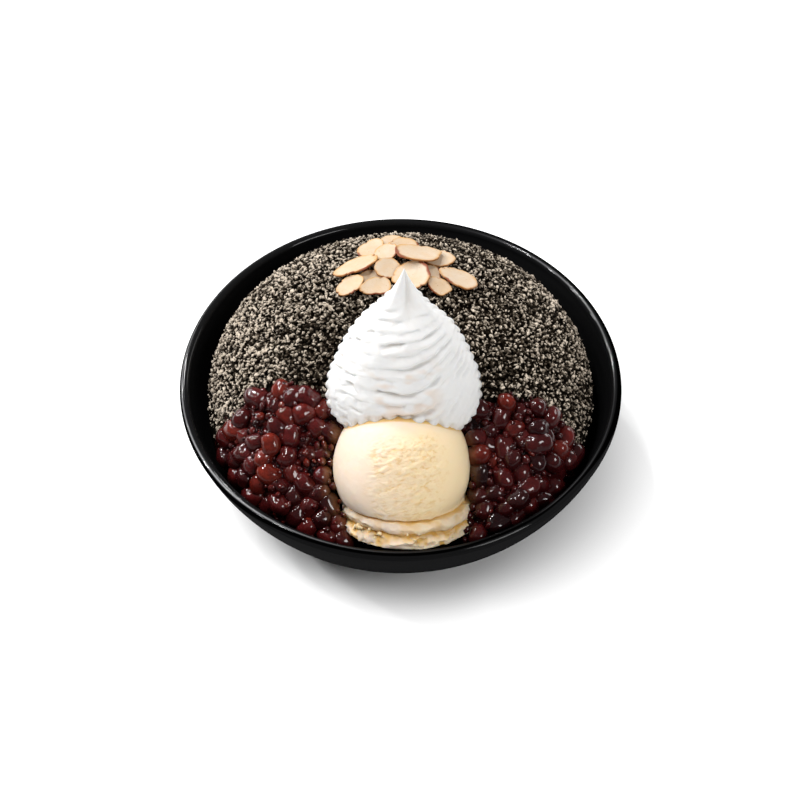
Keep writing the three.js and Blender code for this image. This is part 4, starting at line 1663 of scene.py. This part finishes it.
        dent = depth * (1 - np.sin(math.pi * part**self.crest_skew) ** 1.8)
        scallop = 1 - np.abs(np.sin(math.pi * self.rim_way(level, spot[:, 0]) / self.side_pitch)) ** 0.8
        dent += self.side_depth * edge_on * scallop
        near_scoop = 1 - ease(SCOOP.height_over(self.lay_down(spot)), 0.2, 3.6)
        hem = np.maximum(1 - ease(height, -13.5, -8.0), near_scoop)
        flute = 1 - np.abs(np.sin(0.5 * self.flutes * turn + 0.4 * wander)) ** 0.8
        dent += self.flute_depth * hem * flute * open_side * (1 - edge_on)
        peak = 1 - ease(outline, 6.0, 19.0)
        valley = hump(turn_from(turn, 1.6 * (height - 50.0) - 70.0), self.valley_width)
        folds = 0.13 * np.cos(4 * turn + 0.05 * height + 0.4) + 0.05 * np.cos(7 * turn - 0.05 * height)
        folds = folds - 0.3 * valley
        radius = np.maximum(outline - dent, 0.0) * (1 + peak * folds)
        uneven = 0.5 * rough(spot, 8.0, 12, 2) + 0.12 * rough(spot, 2.0, 13, 2)
        radius += uneven * ease(outline, 1.0, 12.0) * open_side
        write_points(piece, self.lay_down(spun(radius, turn, height)))
        # painted shade on the low middle of the front, where the cream curves under above the ice cream
        low_middle = (1 - ease(level, 4.0, 22.0)) * (1 - ease(np.abs(spot[:, 0]), 8.0, 20.0))
        low_middle *= spot[:, 1] < 0
        # painted shade: darker in the dents, between the hem's flutes and in the peak's valley
        write_masks(
            piece,
            fold=np.clip(ease(dent, 0.9, 3.2) + 0.3 * hem * flute + 0.5 * peak * valley, 0.0, 1.0),
            blush=0.9 * low_middle * ease(rough(spot, (6.0, 6.0, 3.0), 44, 2), -0.1, 0.7),
        )
        smooth_faces(piece)
        hand_over(piece, CreamFinish(), ["whipped_cream"])


SCOOP = IceCreamScoop()
CREAM = CreamSwirl()


# ---- Red beans ---------------------------------------------------------------------------------
@dataclass
class BeanHeap:
    """One heap of sweet red beans: whole beans, crushed ones and skins in dark syrup.

    Side is -1 at the left and 1 at the right. Inner, outer and front are how far from the middle it starts
    and ends.
    """

    node: str
    side: int
    inner: float
    seed: int
    tone: float
    length: float = 11.2
    width: float = 9.3
    squareness: float = 0.93
    dimple: float = 0.07
    dimple_width: float = 0.22
    lean: float = 0.45
    count: int = 110
    spacing: float = 6.5
    lift: float = -2.7
    bits: int = 320
    bit_size: tuple[float, float] = (1.5, 4.8)
    bit_spacing: float = 3.0
    bit_lift: float = -1.2
    bit_half: float = 2.0
    scatter: tuple[float, float] = (-2.6, 1.7)
    outer: float = 88.0
    front: float = 86.0
    throws: int = 9000
    foot_middle: tuple[float, float] = (2.1, -66.0)
    cream_middle: float = 1.4
    cream_half: float = 31.0
    cream_front: float = 46.0

    def free(self, spot: Points, half: float) -> bool:
        """Tells whether a place is clear of bowl, scoop and cream.

        Args:
            spot: Its x, y, z.
            half: Half the width of what would lie there.

        Returns:
            Whether it is clear.
        """
        x, y, z = spot
        wall = float(FORM.inner_radius(np.array([min(z, FORM.rim_height)]))[0])
        foot = math.hypot(x - self.foot_middle[0], y - self.foot_middle[1])
        return (
            wall - math.hypot(x, y) >= half + 0.4
            and SCOOP.height_over(spot[None, :])[0] >= half - 1.2
            and foot >= SCOOP.collar_radius + half - 3.0
            and not (abs(x - self.cream_middle) < self.cream_half and y > -self.cream_front)
        )

    def spots(
        self, random: np.random.Generator, count: int, spacing: float, lift: float, half: float
    ) -> Points:
        """Throws places over the heap, a spacing apart and clear of bowl, scoop and cream.

        Args:
            random: Source of the throws.
            count: How many places are wanted.
            spacing: Least distance between two places.
            lift: Height of the places over the heap's cover.
            half: Half a piece's width, kept clear of the neighbours.

        Returns:
            Rows of x, y, z.
        """
        places: list[np.ndarray] = []
        for _ in range(self.throws):
            if len(places) >= count:
                break
            x = self.side * random.uniform(self.inner, self.outer)
            edge = float(FORM.bean_edge(np.array([x]))[0])
            y = -random.uniform(edge + 0.5 * half, self.front)
            z = float(FORM.cover(np.array([x]), np.array([y]))[0]) + lift + random.uniform(*self.scatter)
            spot = np.array([x, y, z])
            apart = not places or np.min(np.linalg.norm(np.array(places) - spot, axis=1)) >= spacing
            if apart and self.free(spot, half):
                places.append(spot)
        return np.array(places)

    def beans(self) -> None:
        """Builds the whole beans, squarish and dimpled, each with a lean of its own."""
        random = np.random.default_rng(self.seed)
        places = self.spots(random, self.count, self.spacing, self.lift, self.width / 2)
        pattern, points, _ = small_ball("bean", 20, 14)
        points = np.sign(points) * (np.abs(points) * 2) ** self.squareness * 0.5
        points[:, 1] -= self.dimple * hump(points[:, 0], self.dimple_width) * (points[:, 1] > 0)
        points *= 1 + 0.05 * rough(points * 8.0, 2.0, 3)[:, None]
        write_points(pattern, points)
        count = len(places)
        size = random.uniform(0.86, 1.14, (count, 1)) * np.array([self.length, self.width, self.width * 0.93])
        normal = FORM.cover_normal(places[:, 0], places[:, 1])
        lean = normal + self.lean * random.normal(size=(count, 3))
        frames = turned_frames(lean, random.uniform(0, 2 * math.pi, count), size)
        copies = joined_copies(f"{self.node}_whole", pattern, places, frames)
        low = copies.along(copies.roughen(0.11, 4.2, self.seed, 2), normal)
        # painted shade: beans darker towards the bowl's front wall
        base = self.tone + 0.17 * random.normal(size=count) - 0.2 * ease(-places[:, 1], 50.0, 78.0)
        # painted glow on each bean's lower part
        glow = ease(-low, -1.0, 3.2) * copies.each(random.uniform(0.1, 0.5, count))
        write_masks(copies.piece, tone=np.clip(copies.each(base) + glow, 0.0, 1.0))
        self.mark_syrup(copies)
        hand_over(copies.piece, BeanFinish(), [self.node])

    def mark_syrup(self, copies: Copies) -> None:
        """Marks a painted reflection of the ice cream on pieces beside it, and the gloss that keeps the
        syrup's coat on their upward faces and paints shade on their sides.

        Args:
            copies: The joined pieces.
        """
        points = read_points(copies.piece)
        around = copies.around(points)
        facing = self.side * -around[:, 0] / np.maximum(np.linalg.norm(around, axis=1), 1e-6)
        near = np.maximum(SCOOP.height_over(points), 0.0)
        strength = 0.9 if self.side < 0 else 0.35
        normals = np.zeros(len(points) * 3)
        copies.piece.data.vertices.foreach_get("normal", normals)
        write_masks(
            copies.piece,
            # painted reflection of the ice cream, stronger on the left heap
            warm=strength * hump(near, 5.5) * ease(facing, -0.3, 0.7),
            # gloss keeps the coat to upward faces and paints shade on the sides
            gloss=0.1 + 0.9 * ease(normals[2::3], 0.4, 0.66),
        )

    def bits_and_skins(self) -> None:
        """Builds crushed beans and loose skins between the whole ones, turned every way."""
        random = np.random.default_rng(self.seed + 7)
        places = self.spots(random, self.bits, self.bit_spacing, self.bit_lift, self.bit_half)
        pattern, points, _ = small_ball("bit", 10, 6)
        write_points(pattern, points * (1 + 0.22 * rough(points * 5.0, 1.3, 8)[:, None]))
        count = len(places)
        size = random.uniform(*self.bit_size, (count, 1)) * random.uniform(0.5, 1.1, (count, 3))
        copies = joined_copies(f"{self.node}_bits", pattern, places, tumbled_frames(random, size))
        self.mark_syrup(copies)
        tone = np.clip(self.tone - 0.05 + 0.17 * random.normal(size=count), 0.0, 0.8)
        write_masks(copies.piece, tone=copies.each(tone))
        hand_over(copies.piece, BeanFinish(), [])

    def build(self) -> None:
        """Builds the heap."""
        self.beans()
        self.bits_and_skins()


@dataclass
class BeanSyrup(Filling):
    """Dark syrup and crushed bean that fill the beds under the whole beans."""

    reach: float = FORM.mound_radius + 0.8
    gap: float = 0.8
    sink: float = 3.0
    fall: float = 24.0
    lumps: tuple[float, int] = (5.5, 17)
    relief: float = 1.5
    hidden: float = 6.0
    scoop_middle: tuple[float, float] = (2.5, -63.0)

    def top(self, x: Points, y: Points) -> tuple[Points, Points]:
        """Gives the syrup's height and the relief's depth, low under the ice where there are no beans.

        Args:
            x: Places to the right of the middle.
            y: Places behind the middle.

        Returns:
            The height and the depth at each place.
        """
        in_bed = ease((-y - FORM.bed_edge(x) + 1.0) / 3.0)
        in_bed *= ease(np.hypot(x - self.scoop_middle[0], y - self.scoop_middle[1]), 27.0, 32.0)
        rise = FORM.cover(x, y) - self.sink - FORM.ice(x, y) + self.hidden
        return FORM.ice(x, y) - self.hidden + in_bed * rise, in_bed * self.relief

    def taper(self, down: Points) -> Points:
        """Gives how the underside draws in, 1 at its edge and 0 at its middle."""
        return 1 - down**3

    def build(self) -> None:
        """Builds the syrup as one body under both heaps."""
        hand_over(self.fill("bean_syrup_bed", 200, 140), SyrupFinish(), ["red_beans_left", "red_beans_right"])


# ---- Almond flakes -----------------------------------------------------------------------------
@dataclass
class AlmondFlake:
    """One toasted almond slice, laid where its model node lies.

    Its brown skin lies round the skin turn, in degrees, or is a short trace where there is none.
    """

    node: str
    seed: int
    skin_turn: float | None
    thickness: float = 1.15
    spread: float = 1.12
    fullness: float = 0.55
    flatness: float = 0.35
    taper: float = 0.15
    ripple: float = 0.09
    chip: float = 0.1
    dish: float = 0.6
    wave: float = 0.35
    skin_half: float = 0.5
    trace_half: float = 0.12

    def lie(self) -> tuple[Points, Points, float, float]:
        """Finds how the model's node lies.

        Returns:
            Its middle, a matrix with its long, short and upward directions as columns, its length and width.
        """
        points = read_points(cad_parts[self.node])
        middle = (points.max(axis=0) + points.min(axis=0)) / 2
        _, _, axes = np.linalg.svd(points - points.mean(axis=0), full_matrices=False)
        if axes[2][2] < 0:
            axes[2] *= -1
        if np.dot(np.cross(axes[0], axes[1]), axes[2]) < 0:
            axes[1] *= -1
        local = (points - middle) @ axes.T
        span = local.max(axis=0) - local.min(axis=0)
        middle = middle + axes.T @ ((local.max(axis=0) + local.min(axis=0)) / 2)
        return middle, axes.T, float(span[0]), float(span[1])

    def build(self) -> None:
        """Builds the slice.

        It is an oval with a pointed end and a chipped, wavy edge, dished and laid along its node. Its rim is
        toasted, darker on the downhill side as painted shade, with brown skin along a stretch of it.
        """
        middle, axes, length, width = self.lie()
        length, width = length * self.spread, width * self.spread
        piece, share, turn = unit_ball(self.node + "_slice", 64, 28)
        polar = share * math.pi
        reach = np.sin(polar) ** self.fullness
        level = np.sign(np.cos(polar)) * np.abs(np.cos(polar)) ** self.flatness
        edge = rows(np.cos(turn) * 6, np.sin(turn) * 6, np.full_like(turn, self.seed * 3.7))
        chips = ease(rough(edge, 1.1, self.seed + 9), 0.35, 0.8)
        ripple = 1 + self.ripple * rough(edge, 3.6, self.seed, 2) - self.chip * chips
        point = 1 - self.taper * np.cos(turn) * reach
        x = reach * np.cos(turn) * ripple * length / 2
        y = reach * np.sin(turn) * ripple * point * width / 2
        flat = rows(x, y, np.full_like(x, self.seed * 5.0))
        z = level * self.thickness / 2 + self.dish * (reach**2 - 0.5)
        z += self.wave * rough(flat, 9.0, self.seed + 20) + 0.06 * rough(flat, 1.2, self.seed + 40, 2)
        write_points(piece, rows(x, y, z) @ axes.T + middle)
        downhill = ease(-(axes[1, 0] * np.cos(turn) + axes[1, 1] * np.sin(turn)), -0.5, 0.8)
        patchy = ease(rough(edge, 1.6, self.seed + 60), -0.5, 0.5)
        # painted shade: the dark rim is strongest on the downhill side
        rim = ease(reach, 0.93, 0.99) * (0.2 + 0.3 * patchy + 0.6 * downhill)
        browned = 0.05 * (self.seed * 3 % 5) + ease(reach, 0.78, 1.0) * (0.5 + 0.5 * patchy)
        middle_turn, half = self.skin_turn, self.skin_half
        if middle_turn is None:
            middle_turn, half = 77.0 * self.seed, self.trace_half
        away = np.abs(turn_from(turn, middle_turn))
        skin = 1 - ease(away, half, half + 0.3)
        skin *= ease(reach + 0.06 * rough(edge, 0.9, self.seed + 80), 0.84, 0.92)
        spots = 0.85 * ease(chips, 0.2, 0.8) * ease(reach, 0.88, 0.97)
        rim, toast = np.clip(rim, 0.0, 1.0), np.clip(browned, 0.0, 1.0)
        write_masks(piece, rim=rim, toast=toast, skin=np.maximum(skin, spots))
        smooth_faces(piece)
        hand_over(piece, AlmondFinish(), [self.node])


# ---- Studio ------------------------------------------------------------------------------------
@dataclass
class Studio:
    """White paper, soft lights and the camera."""

    paper_size: float = 6000.0
    aim: Place = (0.0, 0.0, 40.0)
    camera_place: Place = (-0.29, -471.0, 623.5)
    camera_tilt: float = 38.9
    lens: float = 72.97
    sensor: float = 36.0
    key_place: Place = (-560.0, 330.0, 820.0)
    key_power: float = 16.0
    key_lamps: int = 10
    key_reach: float = 380.0
    lamp_size: float = 48.0
    fill_place: Place = (600.0, -560.0, 800.0)
    fill_power: float = 5.4
    fill_size: float = 380.0
    card_places: tuple[Place, ...] = ((-690.0, 640.0, 470.0), (690.0, 640.0, 470.0))
    card_power: float = 2.0
    card_size: float = 380.0
    sky: float = 0.14

    def floor(self) -> None:
        """Lays the paper, one sheet far wider than the camera sees."""
        clear_selection()
        bpy.ops.mesh.primitive_plane_add(size=self.paper_size * MM)
        paper = bpy.context.object
        paper.name = paper.data.name = "paper_floor"
        bpy.ops.object.mode_set(mode="EDIT")
        bpy.ops.mesh.subdivide(number_cuts=3)
        bpy.ops.object.mode_set(mode="OBJECT")
        FloorFinish().dress(paper)

    def light(self, name: str, place: Sequence[float], power: float, size: float) -> None:
        """Hangs a soft square light that faces the dessert.

        Args:
            name: Its name.
            place: Where it hangs, in millimetres.
            power: Its power in watts.
            size: Its side in millimetres.
        """
        data = bpy.data.lights.new(name, "AREA")
        data.energy = power
        data.size = size * MM
        lamp = bpy.data.objects.new(name, data)
        bpy.context.scene.collection.objects.link(lamp)
        lamp.location = Vector(place) * MM
        lamp.rotation_euler = (Vector(self.aim) - Vector(place)).to_track_quat("-Z", "Y").to_euler()

    def lights(self) -> None:
        """Hangs the ring of key lamps at the back left, the fill and the two cards behind."""
        towards = (Vector(self.aim) - Vector(self.key_place)).to_track_quat("-Z", "Y")
        for number in range(self.key_lamps):
            angle = 2 * math.pi * number / self.key_lamps
            step = towards @ Vector((math.cos(angle), math.sin(angle), 0.0)) * self.key_reach
            place = Vector(self.key_place) + step
            self.light(f"key_light_{number + 1}", place, self.key_power / self.key_lamps, self.lamp_size)
        self.light("fill_light", self.fill_place, self.fill_power, self.fill_size)
        for number, place in enumerate(self.card_places, 1):
            self.light(f"back_card_{number}", place, self.card_power, self.card_size)

    def sky_and_camera(self) -> None:
        """Sets the white sky, and the camera that looks down on the dessert from the front."""
        world = bpy.data.worlds.new("studio_sky")
        bpy.context.scene.world = world
        world.use_nodes = True
        ground = world.node_tree.nodes["Background"]
        ground.inputs["Color"].default_value = (1.0, 1.0, 1.0, 1.0)
        ground.inputs["Strength"].default_value = self.sky
        data = bpy.data.cameras.new("view_camera")
        data.lens = self.lens
        data.sensor_width = self.sensor
        data.clip_start = 0.01
        camera = bpy.data.objects.new("view_camera", data)
        bpy.context.scene.collection.objects.link(camera)
        camera.location = Vector(self.camera_place) * MM
        camera.rotation_euler = Euler((math.radians(self.camera_tilt), 0.0, 0.0))
        bpy.context.scene.camera = camera
        bpy.context.scene.view_settings.view_transform = "Standard"

    def build(self) -> None:
        """Sets floor, lights, sky and camera."""
        self.floor()
        self.lights()
        self.sky_and_camera()


FLAKES = 15
SKIN_TURNS: dict[int, float] = {3: 170.0, 7: -60.0, 9: 90.0, 11: 65.0, 12: 200.0, 14: 180.0}


def main() -> None:
    """Builds every piece of the bingsu and its studio."""
    logging.basicConfig(level=logging.INFO, format="%(name)s: %(message)s")
    Studio().build()
    Bowl().build()
    SesameMound().build()
    SCOOP.build()
    CREAM.build()
    BeanSyrup().build()
    BeanHeap("red_beans_left", side=-1, inner=24.0, seed=5077, tone=0.5).build()
    BeanHeap("red_beans_right", side=1, inner=27.0, seed=9241, tone=0.38).build()
    for number in range(1, FLAKES + 1):
        AlmondFlake(f"almond_flake_{number:02d}", number, SKIN_TURNS.get(number)).build()


if __name__ == "__main__":
    main()
